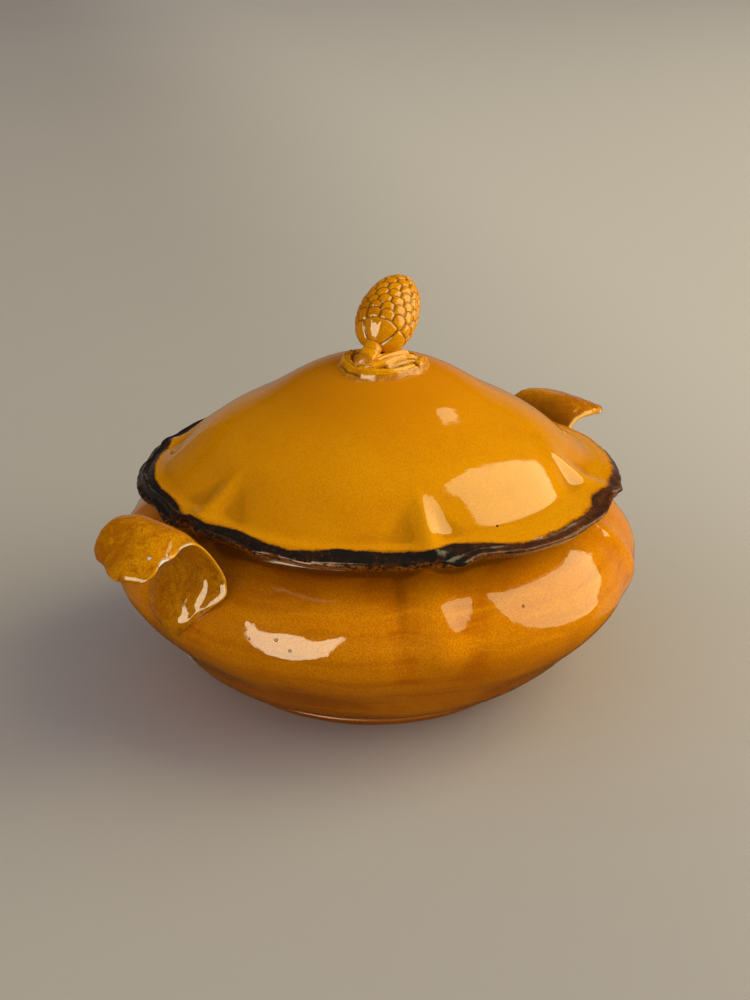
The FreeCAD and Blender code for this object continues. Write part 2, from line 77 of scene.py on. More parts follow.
def spline(points):
    """Natural cubic spline through points; a function of 0..1 by chord length."""
    p = np.asarray(points, float)
    n = len(p)
    t = np.concatenate([[0.0], np.cumsum(np.linalg.norm(np.diff(p, axis=0), axis=1))])
    t /= t[-1]
    h = np.diff(t)
    a = np.eye(n)
    b = np.zeros_like(p)
    for i in range(1, n - 1):
        a[i, i - 1:i + 2] = h[i - 1], 2 * (h[i - 1] + h[i]), h[i]
        b[i] = 6 * ((p[i + 1] - p[i]) / h[i] - (p[i] - p[i - 1]) / h[i - 1])
    m = np.linalg.solve(a, b)

    def value(s):
        s = np.clip(np.asarray(s, float), 0.0, 1.0)
        i = np.clip(np.searchsorted(t, s, side="right") - 1, 0, n - 2)
        w = ((t[i + 1] - s) / h[i])[..., None]
        v = 1 - w
        hh = (h[i] ** 2)[..., None] / 6
        return w * p[i] + v * p[i + 1] + ((w ** 3 - w) * m[i] + (v ** 3 - v) * m[i + 1]) * hh
    return value


def even_samples(points, count):
    """count points at even arc length along the spline through points."""
    fine = spline(points)(np.linspace(0, 1, 1601))
    s = np.concatenate([[0.0], np.cumsum(np.linalg.norm(np.diff(fine, axis=0), axis=1))])
    want = np.linspace(0, s[-1], count)
    return np.stack([np.interp(want, s, fine[:, d]) for d in range(fine.shape[1])], axis=1)


def table(rows, x, window=0.0):
    rows = np.asarray(rows, float)
    if not window:
        return np.interp(x, rows[:, 0], rows[:, 1])
    lo, hi = rows[0, 0], rows[-1, 0]
    return sum(np.interp(np.clip(x + window * k / 4.0, lo, hi), rows[:, 0], rows[:, 1])
               for k in range(-4, 5)) / 9.0


def lattice(ix, iy, iz, seed):
    """Repeatable number in -1..1 for a lattice point."""
    h = (ix * 374761393 + iy * 668265263 + iz * 1442695041 + seed * 1013904223) & 0xFFFFFFFF
    h = ((h ^ (h >> 13)) * 1274126177) & 0xFFFFFFFF
    h = h ^ (h >> 16)
    return (h & 0xFFFF) / 32767.5 - 1.0


def noise(p, seed=0):
    """Smooth value noise of an (..., 3) array, with a wave of about 2."""
    p = np.asarray(p, float)
    i = np.floor(p).astype(np.int64)
    f = p - i
    f = f * f * f * (f * (f * 6 - 15) + 10)
    out = 0.0
    for dx in (0, 1):
        for dy in (0, 1):
            for dz in (0, 1):
                w = (f[..., 0] if dx else 1 - f[..., 0]) * (f[..., 1] if dy else 1 - f[..., 1]) \
                    * (f[..., 2] if dz else 1 - f[..., 2])
                out = out + w * lattice(i[..., 0] + dx, i[..., 1] + dy, i[..., 2] + dz, seed)
    return out


def soft_max(values, sharp):
    """Smooth maximum over the first axis."""
    v = np.stack(values)
    top = v.max(axis=0)
    return top + np.log(np.exp((v - top) * sharp).sum(axis=0)) / sharp


def path_distance(p, q, path):
    """Distance of plane points to a bent line, and how far along it (0..1)."""
    path = np.asarray(path, float)
    seg = np.linalg.norm(np.diff(path[:, :2], axis=0), axis=1)
    start = np.concatenate([[0.0], np.cumsum(seg)])
    best = np.full(p.shape, 1e9)
    along = np.zeros(p.shape)
    for k in range(len(path) - 1):
        a, b = path[k, :2], path[k + 1, :2]
        d = b - a
        t = np.clip(((p - a[0]) * d[0] + (q - a[1]) * d[1]) / (d @ d), 0, 1)
        dist = np.hypot(p - a[0] - t * d[0], q - a[1] - t * d[1])
        near = dist < best
        best = np.where(near, dist, best)
        along = np.where(near, (start[k] + t * seg[k]) / start[-1], along)
    return best, along


# ---------------------------------------------------------------- mesh making
def grid_piece(name, rings, wrap=False, marks=None, sharp=None, hollow=(10, 0.5)):
    """Closed mesh through an (m, n, 3) grid of rings in millimetres. Rings join end
    to end with wrap; otherwise the first and last ring are closed by a middle point."""
    rings = np.asarray(rings, float)
    m, n = rings.shape[:2]
    co = rings.reshape(-1, 3)
    j = np.arange(m if wrap else m - 1)[:, None]
    i = np.arange(n)[None, :]
    a, b = j * n + i, j * n + (i + 1) % n
    c, d = ((j + 1) % m) * n + (i + 1) % n, ((j + 1) % m) * n + i
    quads = np.stack([a, b, c, d], -1).reshape(-1, 4)
    tris = np.zeros((0, 3), int)
    if not wrap:
        k = np.arange(n)
        low, high = m * n, m * n + 1
        co = np.vstack([co, rings[0].mean(axis=0), rings[-1].mean(axis=0)])
        tris = np.vstack([np.stack([np.full(n, low), (k + 1) % n, k], -1),
                          np.stack([np.full(n, high), (m - 1) * n + k, (m - 1) * n + (k + 1) % n], -1)])
    every = np.vstack([quads[:, [0, 1, 2]], quads[:, [0, 2, 3]], tris])
    p, q, r = co[every[:, 0]], co[every[:, 1]], co[every[:, 2]]
    if np.einsum("ij,ij->i", p, np.cross(q, r)).sum() < 0:
        quads, tris = quads[:, ::-1], tris[:, ::-1]
    mesh = bpy.data.meshes.new(name)
    mesh.from_pydata((co * MM).tolist(), [], quads.tolist() + tris.tolist())
    mesh.polygons.foreach_set("use_smooth", np.ones(len(mesh.polygons), bool))
    if sharp:
        mesh.set_sharp_from_angle(angle=sharp * RAD)
    mesh.update()
    rounds, full = hollow
    store(mesh, "cavity", cavity(mesh, rounds, full))
    for key, values in (marks or {}).items():
        values = np.asarray(values, float)
        flat = values.reshape(-1)
        if not wrap:
            flat = np.concatenate([flat, [values[0].mean(), values[-1].mean()]])
        store(mesh, key, flat)
    obj = bpy.data.objects.new(name, mesh)
    scene.collection.objects.link(obj)
    return obj


def store(mesh, key, values):
    layer = mesh.attributes.new(key, "FLOAT", "POINT")
    layer.data.foreach_set("value", np.asarray(values, np.float32))


def cavity(mesh, rounds, full):
    """1 in hollows, -1 on raised edges, over the reach of a few smoothing rounds."""
    count = len(mesh.vertices)
    co = np.zeros(count * 3)
    mesh.vertices.foreach_get("co", co)
    co = co.reshape(-1, 3) / MM
    e = np.zeros(len(mesh.edges) * 2, np.int64)
    mesh.edges.foreach_get("vertices", e)
    e = e.reshape(-1, 2)
    src = np.concatenate([e[:, 0], e[:, 1]])
    dst = np.concatenate([e[:, 1], e[:, 0]])
    deg = np.bincount(src, minlength=count)
    s = co.copy()
    for _ in range(rounds):
        mean = np.stack([np.bincount(src, weights=s[dst, k], minlength=count) for k in range(3)], 1)
        s = 0.4 * s + 0.6 * mean / deg[:, None]
    normal = np.zeros(count * 3)
    mesh.vertices.foreach_get("normal", normal)
    depth = ((s - co) * normal.reshape(-1, 3)).sum(axis=1)
    return np.clip(depth / full, -1, 1)


# ---------------------------------------------------------------- lobes, ribs
def rib_angle(deg):
    """Signed degrees from the nearest of the six ribs."""
    a = np.mod(deg, 60.0)
    return np.where(a > 30.0, a - 60.0, a)


def draw_in(deg):
    """1 at a rib, 0 in the middle of a lobe."""
    return ((1 + np.cos(6 * rib_angle(deg) * RAD)) / 2) ** 2


def rim_radius(deg):
    deg = deg - LID_TURN
    k = np.round(np.mod(deg, 360.0) / 60.0).astype(int) % 6
    return LID_RIM_R - LID_RIM_DIPS[k] * draw_in(deg) + LID_TIPS[k] * bell(rib_angle(deg), LID_TIP_WIDTH)


def round_about(rr, z, deg, at=np.zeros(3)):
    """Points at radius rr, height z and angle deg about an upright axis."""
    rr, z, deg = np.broadcast_arrays(rr, z, deg)
    return np.stack([at[0] + rr * np.cos(deg * RAD), at[1] + rr * np.sin(deg * RAD), z], axis=-1)


def turn(count):
    return (360.0 * np.arange(count) / count)[None, :]


# ---------------------------------------------------------------- bowl
OUTER = [(72.2, 3.6), (74.8, 5.2), (78.2, 7.3), (82.6, 9.9), (91.0, 16.2), (101.6, 28.0),
         (109.4, 36.0), (115.4, 43.5), (119.0, 50.5), (120.0, 57.0), (118.2, 64.0),
         (113.5, 70.3), (108.6, 74.8), (103.6, 78.4), (99.5, 81.2), (96.4, 83.2), (94.6, 84.6),
         (93.8, 86.0), (93.9, 87.8), (94.6, 89.8), (95.2, 91.2)]
LIP = [(95.2, 91.2), (94.4, 92.7), (92.6, 93.2), (90.8, 92.7), (90.0, 91.2)]
INNER = [(90.0, 91.2), (90.0, 88.2), (91.0, 84.4), (94.6, 80.2), (101.4, 75.0),
         (107.6, 69.0), (111.6, 62.8), (113.0, 56.6), (112.0, 50.8), (108.4, 44.6),
         (102.2, 37.4), (94.4, 29.2), (84.6, 19.6), (76.0, 13.4), (65.0, 10.4),
         (48.0, 9.6), (26.0, 9.4), (5.0, 9.4)]


BOWL_RIBS = np.array([0.85, 0.9, 0.9, 0.9, 1.0, 0.60])
RIB_WIDE = np.array([4.3, 4.3, 4.3, 4.3, 4.3, 3.0])
RIB_TROUGH = np.array([0.2, 0.2, 0.2, 0.2, 0.42, 0.2])
RIB_ASIDE = np.array([0.0, 0.0, 0.0, 0.0, 0.0, 1.6])
LID_RIBS = np.array([0.8, 0.85, 0.85, 1.05, 0.95, 0.62])
LID_RIB_WIDE = np.array([1.0, 1.0, 1.0, 1.25, 0.95, 1.0])
LID_HOLLOW = np.array([0.10, 0.10, 0.10, 0.26, 0.12, 0.08])


def bowl_outer_radius(r, z, deg):
    k = np.round(np.mod(deg - BOWL_TURN, 360.0) / 60.0).astype(int) % 6
    a = rib_angle(deg - BOWL_TURN) - RIB_ASIDE[k]
    lobe = smooth(10, 50, z) * (1 - 0.7 * smooth(84, 92, z))
    rib = smooth(36, 64, z) * (1 - 0.85 * smooth(84, 91, z))
    rr = r - 1.6 * lobe * draw_in(deg - BOWL_TURN)
    rib = rib * BOWL_RIBS[k]
    rr = rr + rib * (2.6 * bell(a, RIB_WIDE[k]) - 0.55 * bell(a + 7.8, 2.6) - RIB_TROUGH[k] * bell(a - 9.0, 3.2))
    # the belly is thrown a little off centre
    rr = rr + 1.6 * np.cos((deg - LID_SHIFT_DIR) * RAD) * smooth(6, 30, z) * (1 - smooth(78, 90, z))
    uneven = smooth(6, 22, z) * (1 - smooth(80, 89, z))
    p = round_about(rr, z, deg)
    return rr + uneven * (0.40 * noise(p / 34.0, 3) + 0.14 * noise(p / 12.0, 4))


def bowl_inner_radius(r, z, deg):
    lobe = smooth(10, 50, z) * (1 - 0.9 * smooth(78, 90, z))
    return r - 1.6 * lobe * draw_in(deg - BOWL_TURN)


def make_bowl():
    deg = turn(360)
    base_r = np.linspace(8.0, 70.6, 16)[:, None]
    base_z = 3.6 + 0.12 * np.sin(base_r * 0.9) * smooth(70, 56, base_r)
    under = round_about(base_r, base_z, deg)
    out = even_samples(OUTER, 128)
    outer = round_about(bowl_outer_radius(out[:, :1], out[:, 1:], deg), out[:, 1:], deg)
    lip = even_samples(LIP, 12)[1:-1]
    w = np.linspace(0, 1, 12)[1:-1, None]
    lip_r = bowl_outer_radius(lip[:, :1], lip[:, 1:], deg) * (1 - w) \
        + bowl_inner_radius(lip[:, :1], lip[:, 1:], deg) * w
    lips = round_about(lip_r, lip[:, 1:], deg)
    inn = even_samples(INNER, 84)
    # faint throwing rings inside
    ripple = 0.16 * np.sin(inn[:, 1:] * 1.15 + inn[:, :1] * 0.35) * smooth(88, 80, inn[:, 1:])
    inner = round_about(bowl_inner_radius(inn[:, :1], inn[:, 1:], deg) + ripple * smooth(60, 90, inn[:, :1]),
                        inn[:, 1:], deg)
    rings = np.concatenate([under, outer, lips, inner])
    return grid_piece("tureen_bowl_glazed", rings, hollow=(30, 0.42), sharp=60)


# ---------------------------------------------------------------- foot ring
def make_foot():
    deg = turn(300)
    line = [(59.4, FOOT_H), (59.2, 2.6), (59.3, 1.2), (60.0, 0.35), (61.4, 0.02), (64.5, 0.0),
            (68.0, 0.0), (69.8, 0.06), (70.6, 0.45), (71.2, 1.2), (71.7, 2.0), (72.2, 2.7), (72.5, 3.2),
            (72.3, FOOT_H)]
    prof = even_samples(line, 44)
    r = prof[:, :1] + 0.15 * noise(round_about(prof[:, :1] / 14.0, prof[:, 1:] / 5.0, deg), 21) \
        * smooth(66, 71, prof[:, :1])
    return grid_piece("foot_ring_glazed", round_about(r, np.maximum(prof[:, 1:], 0.0), deg), wrap=True,
                      hollow=(8, 0.3), sharp=55)


# ---------------------------------------------------------------- lid
DOME = [(4.0, 146.6), (12.0, 146.1), (21.0, 144.5), (30.0, 141.5), (38.0, 137.5),
        (46.0, 132.6), (54.0, 127.7), (62.0, 123.4), (70.0, 119.0), (78.0, 113.8),
        (85.0, 108.2), (91.0, 103.35), (95.4, 100.3), (98.8, 98.95), (JOIN_R, JOIN_Z)]
UNDER = [(FLANGE_INNER_R, LID_BOTTOM), (79.4, 97.0), (75.6, 102.6), (70.0, 107.8),
         (62.0, 113.0), (54.0, 117.6), (46.0, 122.4), (38.0, 127.4), (30.0, 132.0),
         (21.0, 135.6), (12.0, 137.2), (4.0, 137.6)]
dome_line = even_samples(DOME, 400)


def lid_rib(deg, r):
    """Fold that starts as a thin crease on the dome and widens towards the edge."""
    a = rib_angle(deg - LID_TURN)
    k = np.round(np.mod(deg - LID_TURN, 360.0) / 60.0).astype(int) % 6
    spread = (1.2 + 2.3 * smooth(76, 99, r)) * LID_RIB_WIDE[k]
    beside = bell(a - 2.2 * spread, 0.9 * spread) + bell(a + 2.2 * spread, 0.9 * spread)
    return LID_RIBS[k] * (bell(a, spread) - 0.16 * bell(a + 3.0, 7.5)) - LID_HOLLOW[k] * beside


# how far the brim droops: angle, millimetres
DROOP = [(0, 2.0), (60, 2.2), (110, 2.4), (135, 2.1), (150, 1.1), (165, 0.3), (175, 0.0), (290, 0.0), (305, 0.4),
         (325, 1.4), (345, 2.0)]


def dome_point(r, z, deg):
    weight = smooth(74, JOIN_R, r)
    lift = 2.3 * smooth(75, 97, r) * (1 - 0.50 * smooth(97, JOIN_R, r))
    rr = r + weight * (rim_radius(deg) - LID_RIM_R)
    zz = z + lift * lid_rib(deg, r)
    p = round_about(rr, zz, deg)
    uneven = smooth(20, 40, r) * (1 - smooth(94, JOIN_R - 1.5, r))
    zz = zz + uneven * (0.40 * noise(p / 38.0, 7) + 0.08 * noise(p / 13.0, 8))
    zz = zz + 0.80 * bell(np.hypot(p[..., 0] + 1.7, p[..., 1] + 41.4), 10.0)
    zz = zz - round_smooth(DROOP, 1, deg, 6.0) * smooth(82, JOIN_R, r)
    return round_about(rr, zz, deg, LID_AT)


# the lid's lower outer edge all round: angle, radius, height
LOW_EDGE = [(2, 106.6, 93.4), (8, 106.0, 93.3), (25, 109.0, 93.0), (40, 109.0, 93.0), (48, 106.4, 93.4),
            (53, 106.6, 93.6), (57, 108.0, 93.0), (62, 106.4, 93.4), (80, 109.0, 92.9), (95, 109.0, 93.0),
            (110, 107.8, 93.3), (115, 107.9, 93.5), (118, 108.6, 93.0), (123, 107.8, 93.3), (132, 108.6, 93.0),
            (140, 108.6, 93.0), (151, 107.8, 93.0), (158, 105.6, 94.3), (163, 106.5, 93.8), (168, 107.6, 93.1),
            (170.5, 106.4, 93.4), (173, 103.4, 95.0), (176.5, 104.8, 93.4), (179.5, 106.4, 93.0),
            (184.5, 105.6, 93.6), (190.8, 106.0, 93.5), (196.2, 107.6, 92.8), (199, 106.8, 93.0),
            (203, 107.4, 93.0), (209, 108.8, 93.0), (215, 108.4, 93.0), (221, 108.6, 93.0), (228, 108.6, 92.7),
            (231, 108.4, 92.6), (235, 107.2, 93.5), (238.2, 109.6, 92.7), (241.7, 110.2, 92.5),
            (246.2, 107.3, 94.0), (252.4, 107.9, 92.9), (257.8, 109.8, 92.4), (266.8, 110.6, 92.1),
            (275.6, 110.2, 92.6), (284, 110.8, 92.6), (289.5, 109.0, 93.0), (293.5, 107.6, 93.6),
            (298, 110.2, 93.2), (303, 108.6, 93.3), (320, 109.0, 93.0), (335, 109.0, 93.0), (347, 106.0, 93.4),
            (353, 106.2, 93.6), (356.5, 108.0, 93.0)]
# how far in from the edge the dark glaze reaches: angle, millimetres
DARK_REACH = [(0, 2.8), (30, 3.5), (60, 4.5), (100, 5.6), (120, 6.5), (140, 7.6), (150, 7.8), (158, 8.4),
              (163, 7.4), (167, 5.2), (170, 3.4), (172.5, 3.2), (175, 4.6), (178, 4.4), (182, 5.2), (186, 6.6), (190, 7.0), (196, 5.8),
              (203, 4.0), (209, 5.4), (215, 7.2), (222, 6.2), (228, 5.0), (235, 5.6), (241, 7.2), (246, 5.6), (250, 5.0), (257, 2.8),
              (262, 2.9), (267, 3.5), (276, 3.7), (284, 4.3), (290, 4.7), (296, 4.6), (300, 3.2), (320, 2.6)]


def round_table(rows, column, deg):
    rows = np.asarray(rows, float)
    return np.interp(np.mod(deg, 360.0), np.concatenate([rows[-1:, 0] - 360, rows[:, 0], rows[:1, 0] + 360]),
                     np.concatenate([rows[-1:, column], rows[:, column], rows[:1, column]]))


def round_smooth(rows, column, deg, reach):
    """The same, averaged over reach degrees to either side."""
    return sum(round_table(rows, column, deg + reach * k / 3.0) for k in range(-3, 4)) / 7.0


def make_dome():
    deg = turn(480)
    out = even_samples(DOME, 104)
    outer = dome_point(out[:, :1], out[:, 1:], deg)
    top = dome_point(np.array([[JOIN_R]]), np.array([[JOIN_Z]]), deg)[0]
    low = top.copy()
    low[:, 2] = LID_BOTTOM
    inner = round_about(FLANGE_INNER_R, LID_BOTTOM, deg, LID_AT)[0]
    wall = np.stack([top * (1 - w) + low * w for w in (0.5, 1.0)])
    seat = np.stack([low * (1 - w) + inner * w for w in np.linspace(0.04, 0.98, 7)])
    und = even_samples(UNDER, 50)
    under = round_about(und[:, :1], und[:, 1:], deg, LID_AT)
    rings = np.concatenate([outer, wall, seat, under])
    edge = np.concatenate([LID_RIM_R - out[:, :1] + 6.9 - round_smooth(DARK_REACH, 1, deg, 1.5),
                           np.full((len(wall), 480), RIM_BAND),
                           np.full((len(seat) + len(under), 480), 60.0)])
    return grid_piece("lid_dome_glazed", rings, marks={"edge": edge}, hollow=(30, 0.5), sharp=60)


EDGE = [(-RIM_BAND, JOIN_Z), (-5.4, 97.75), (-4.0, 97.1), (-2.8, 96.5), (-1.9, 95.95), (-0.9, 95.35), (-0.3, 94.75),
        (0.0, 93.9), (-0.25, 92.7), (-0.7, 91.5), (-1.4, 90.5), (-2.4, 89.9), (-3.4, 89.9), (-4.7, 90.8),
        (-6.0, 92.2), (-RIM_BAND, LID_BOTTOM)]
# how much lower the lip hangs: angle, millimetres
HANG = [(0, 0.5), (60, 0.7), (130, 0.7), (150, 0.5), (165, 0.4), (173, 0.5), (180, 0.0), (187, -1.0), (195, -1.3),
        (203, -0.9), (210, -0.6), (218, -0.6), (229, -0.4), (238, -0.7), (246, -0.7), (252, -1.1), (265, -1.3), (275, -0.3),
        (285, -1.8), (293, -1.5), (300, -0.8), (340, 0.0)]
# ridges that wind along the edge like a loose rope: angle, distance down the profile, height
RIDGES = [
    [(173, 4.0, 0.1), (178, 6.0, 0.8), (184, 7.4, 0.9), (190, 7.8, 0.6), (197, 8.2, 0.45), (201, 8.4, 0.75),
     (206, 8.8, 0.75), (210, 9.2, 0.4), (214, 9.6, 0.35), (230, 10.0, 0.35), (236, 10.4, 0.2), (238, 10.4, 0.0)],
    [(206, 7.5, 0.0), (212, 6.8, 0.3), (220, 6.4, 0.45), (230, 7.2, 0.5), (236, 8.0, 0.9), (240, 5.6, 0.35),
     (245, 4.6, 0.22), (251, 4.6, 0.16), (257, 5.6, 0.1), (262, 6.4, 0.0)],
    [(235, 10.4, 0.5), (240, 10.0, 0.65), (244, 9.6, 0.55), (249, 9.0, 0.55), (256, 8.6, 0.6), (266, 8.8, 0.6),
     (276, 8.8, 0.6), (284, 8.4, 0.65), (290, 8.0, 0.8), (294, 8.6, 1.1), (297, 10.5, 0.2)],
    [(294, 5.0, 0.0), (298, 8.0, 1.2), (304, 9.0, 0.9), (330, 9.0, 0.8), (352, 8.6, 0.9), (358, 7.6, 1.0),
     (365, 9.0, 0.8), (390, 9.0, 0.8), (412, 8.4, 0.9), (418, 7.6, 1.0), (425, 8.8, 0.9), (450, 8.8, 0.9),
     (474, 8.4, 0.9), (479, 7.8, 1.0), (486, 8.6, 0.9), (510, 8.8, 1.0), (524, 9.0, 1.1), (530, 9.8, 1.1),
     (534, 11.0, 0.2)],
    [(300, 4.6, 0.1), (330, 4.4, 0.4), (356, 4.2, 0.6), (390, 4.2, 0.5), (416, 4.0, 0.7), (450, 4.0, 0.7),
     (476, 4.0, 0.8), (500, 3.8, 0.9), (520, 3.8, 0.95), (528, 4.6, 1.1), (533, 6.2, 1.1), (537, 7.2, 1.0),
     (545, 8.0, 0.95), (551, 8.6, 0.85), (556, 9.8, 0.6), (563, 11.2, 0.0)],
]


def make_rim():
    count = 720
    deg = turn(count)
    prof = even_samples(EDGE, 84)
    off, z = prof[:, :1], prof[:, 1:]
    down = np.concatenate([[0.0], np.cumsum(np.linalg.norm(np.diff(prof, axis=0), axis=1))])[:, None]
    grad = np.gradient(prof, axis=0)
    grad /= np.linalg.norm(grad, axis=1)[:, None]
    out_r, out_z = -grad[:, 1:], grad[:, :1]
    spin = np.concatenate([[np.cos(deg[0] * RAD)], [np.sin(deg[0] * RAD)], [np.zeros(count)]]).T[None]
    free = smooth(0.0, 2.4, down) * smooth(19.0, 14.5, down)
    sway = 0.40 * noise(spin * 9.0, 11) + 0.30 * noise(spin * 24.0, 12)
    swell = 0.24 * noise(spin * 13.0, 13) + 0.16 * noise(spin * 33.0, 14)
    base = -0.45 * smooth(4.6, 6.6, down) * (1 - smooth(236, 246, deg) * smooth(312, 300, deg))
    rope = base + 0 * deg
    for rows in RIDGES:
        rows = np.array(rows, float)
        for lap in (0.0, 360.0):
            high = np.interp(deg + lap, rows[:, 0], rows[:, 2], left=0.0, right=0.0)
            at = np.interp(deg + lap, rows[:, 0], rows[:, 1]) + sway
            rope = np.maximum(rope, base + 1.45 * high * (1 + 0.7 * swell) * bell(down - at, 1.10 + 0.2 * swell))
    # blend the ridges into one another
    for _ in range(2):
        rope[1:-1] = (rope[:-2] + 2 * rope[1:-1] + rope[2:]) / 4
        rope = (np.roll(rope, 1, 1) + 2 * rope + np.roll(rope, -1, 1)) / 4
    top = dome_point(np.array([[JOIN_R]]), np.array([[JOIN_Z]]), deg)[0]
    start = np.hypot(top[:, 0] - LID_AT[0], top[:, 1] - LID_AT[1])[None]
    outer = round_smooth(LOW_EDGE, 1, deg, 0.8) + 0.35
    hang = round_smooth(LOW_EDGE, 2, deg, 0.8) - 92.9
    rr = start + (off + RIM_BAND) * (outer - start) / RIM_BAND
    droop = round_smooth(DROOP, 1, deg, 6.0)
    hang = hang - droop - round_smooth(HANG, 1, deg, 2.0) * smooth(5.0, 9.5, down)
    zz = z + (top[:, 2][None] - JOIN_Z + droop) * smooth(8.0, 0.0, down) - droop * smooth(7.5, 0.5, down) \
        + hang * smooth(0.5, 7.5, down) * smooth(19.0, 14.5, down)
    p = round_about(rr, zz, deg)
    lumps = 0.11 * noise(p / 3.4, 15) + 0.05 * noise(p / 1.5, 16)
    move = free * (rope + lumps * smooth(0.4, 2.0, down))
    rings = round_about(rr + out_r * move, zz + out_z * move, deg, LID_AT)
    rings[0] = top
    rings[-1] = np.stack([top[:, 0], top[:, 1], np.full(count, LID_BOTTOM)], axis=-1)
    edge = RIM_BAND * np.maximum(1 - down / 8.0, -0.2) + 6.9 - round_smooth(DARK_REACH, 1, deg, 1.5)
    ones = np.ones((1, count))
    late = 1.9 * smooth(236, 246, deg) * smooth(365, 330, deg) + 1.0 * smooth(180, 170, deg)
    # brown marks the right-hand lobes, drawn browner: partly brown glaze, partly painted light on the side the key
    # lamp lights
    return grid_piece("lid_rim_glazed", rings, wrap=True,
                      marks={"edge": edge, "under": smooth(7.6, 8.9, down + 0.8 * sway - late), "down": down * ones,
                             "brown": smooth(238, 262, deg) * smooth(345, 310, deg) + 0 * down},
                      hollow=(7, 0.32), sharp=70)


def make_flange():
    deg = turn(300)
    z0, d = LID_BOTTOM, FLANGE_DEPTH
    line = [(FLANGE_INNER_R + 0.1, z0), (FLANGE_INNER_R + 0.3, z0 - d * 0.5), (FLANGE_INNER_R + 0.7, z0 - d + 1.0),
            (FLANGE_INNER_R + 1.6, z0 - d + 0.15), (83.3, z0 - d), (FLANGE_R - 1.7, z0 - d + 0.2),
            (FLANGE_R - 0.9, z0 - d + 1.2), (FLANGE_R - 0.5, z0 - d * 0.5), (FLANGE_R - 0.1, z0)]
    prof = even_samples(line, 44)
    return grid_piece("lid_flange_glazed", round_about(prof[:, :1], prof[:, 1:], deg, LID_AT), wrap=True,
                      hollow=(8, 0.4), sharp=60)


# ---------------------------------------------------------------- leaf handles
LEAF_FOOT = [(118.3, 51.8), (120.0, 57.6), (118.6, 65.0), (114.4, 71.2), (111.2, 77.5)]
LEFT_LINE = LEAF_FOOT + [(111.4, 84.0), (114.2, 91.0), (118.4, 97.4), (123.8, 101.8),
                         (130.0, 103.0), (136.6, 101.2), (143.0, 97.2), (148.8, 92.0)]
RIGHT_LINE = LEAF_FOOT + [(111.6, 82.4), (114.8, 87.4), (119.6, 91.4), (125.6, 94.0),
                          (132.4, 94.6), (139.4, 93.4), (146.4, 91.0), (152.8, 87.8)]
LEAF_NEAR = [(0.0, 2.0), (0.05, 6.6), (0.10, 10.6), (0.20, 18.2), (0.28, 24.0), (0.31, 25.2), (0.345, 24.4),
             (0.50, 21.6), (0.62, 20.4), (0.75, 20.2), (0.86, 19.8), (0.93, 18.4), (0.97, 16.0), (1.0, 12.0)]
LEAF_FAR = [(0.0, 2.0), (0.045, 9.0), (0.10, 15.6), (0.17, 20.8), (0.25, 23.6), (0.36, 23.2), (0.50, 21.4),
            (0.62, 20.4), (0.75, 20.2), (0.86, 19.8), (0.93, 18.4), (0.97, 16.0), (1.0, 12.0)]
LEFT_NEAR = LEAF_NEAR[:-4] + [(0.86, 21.2), (0.93, 22.2), (0.97, 22.0), (1.0, 20.0)]
LEAF_BEND = [(0.0, 0.6), (0.15, 3.2), (0.35, 4.0), (0.55, 1.6), (0.70, 0.6), (1.0, 1.6)]


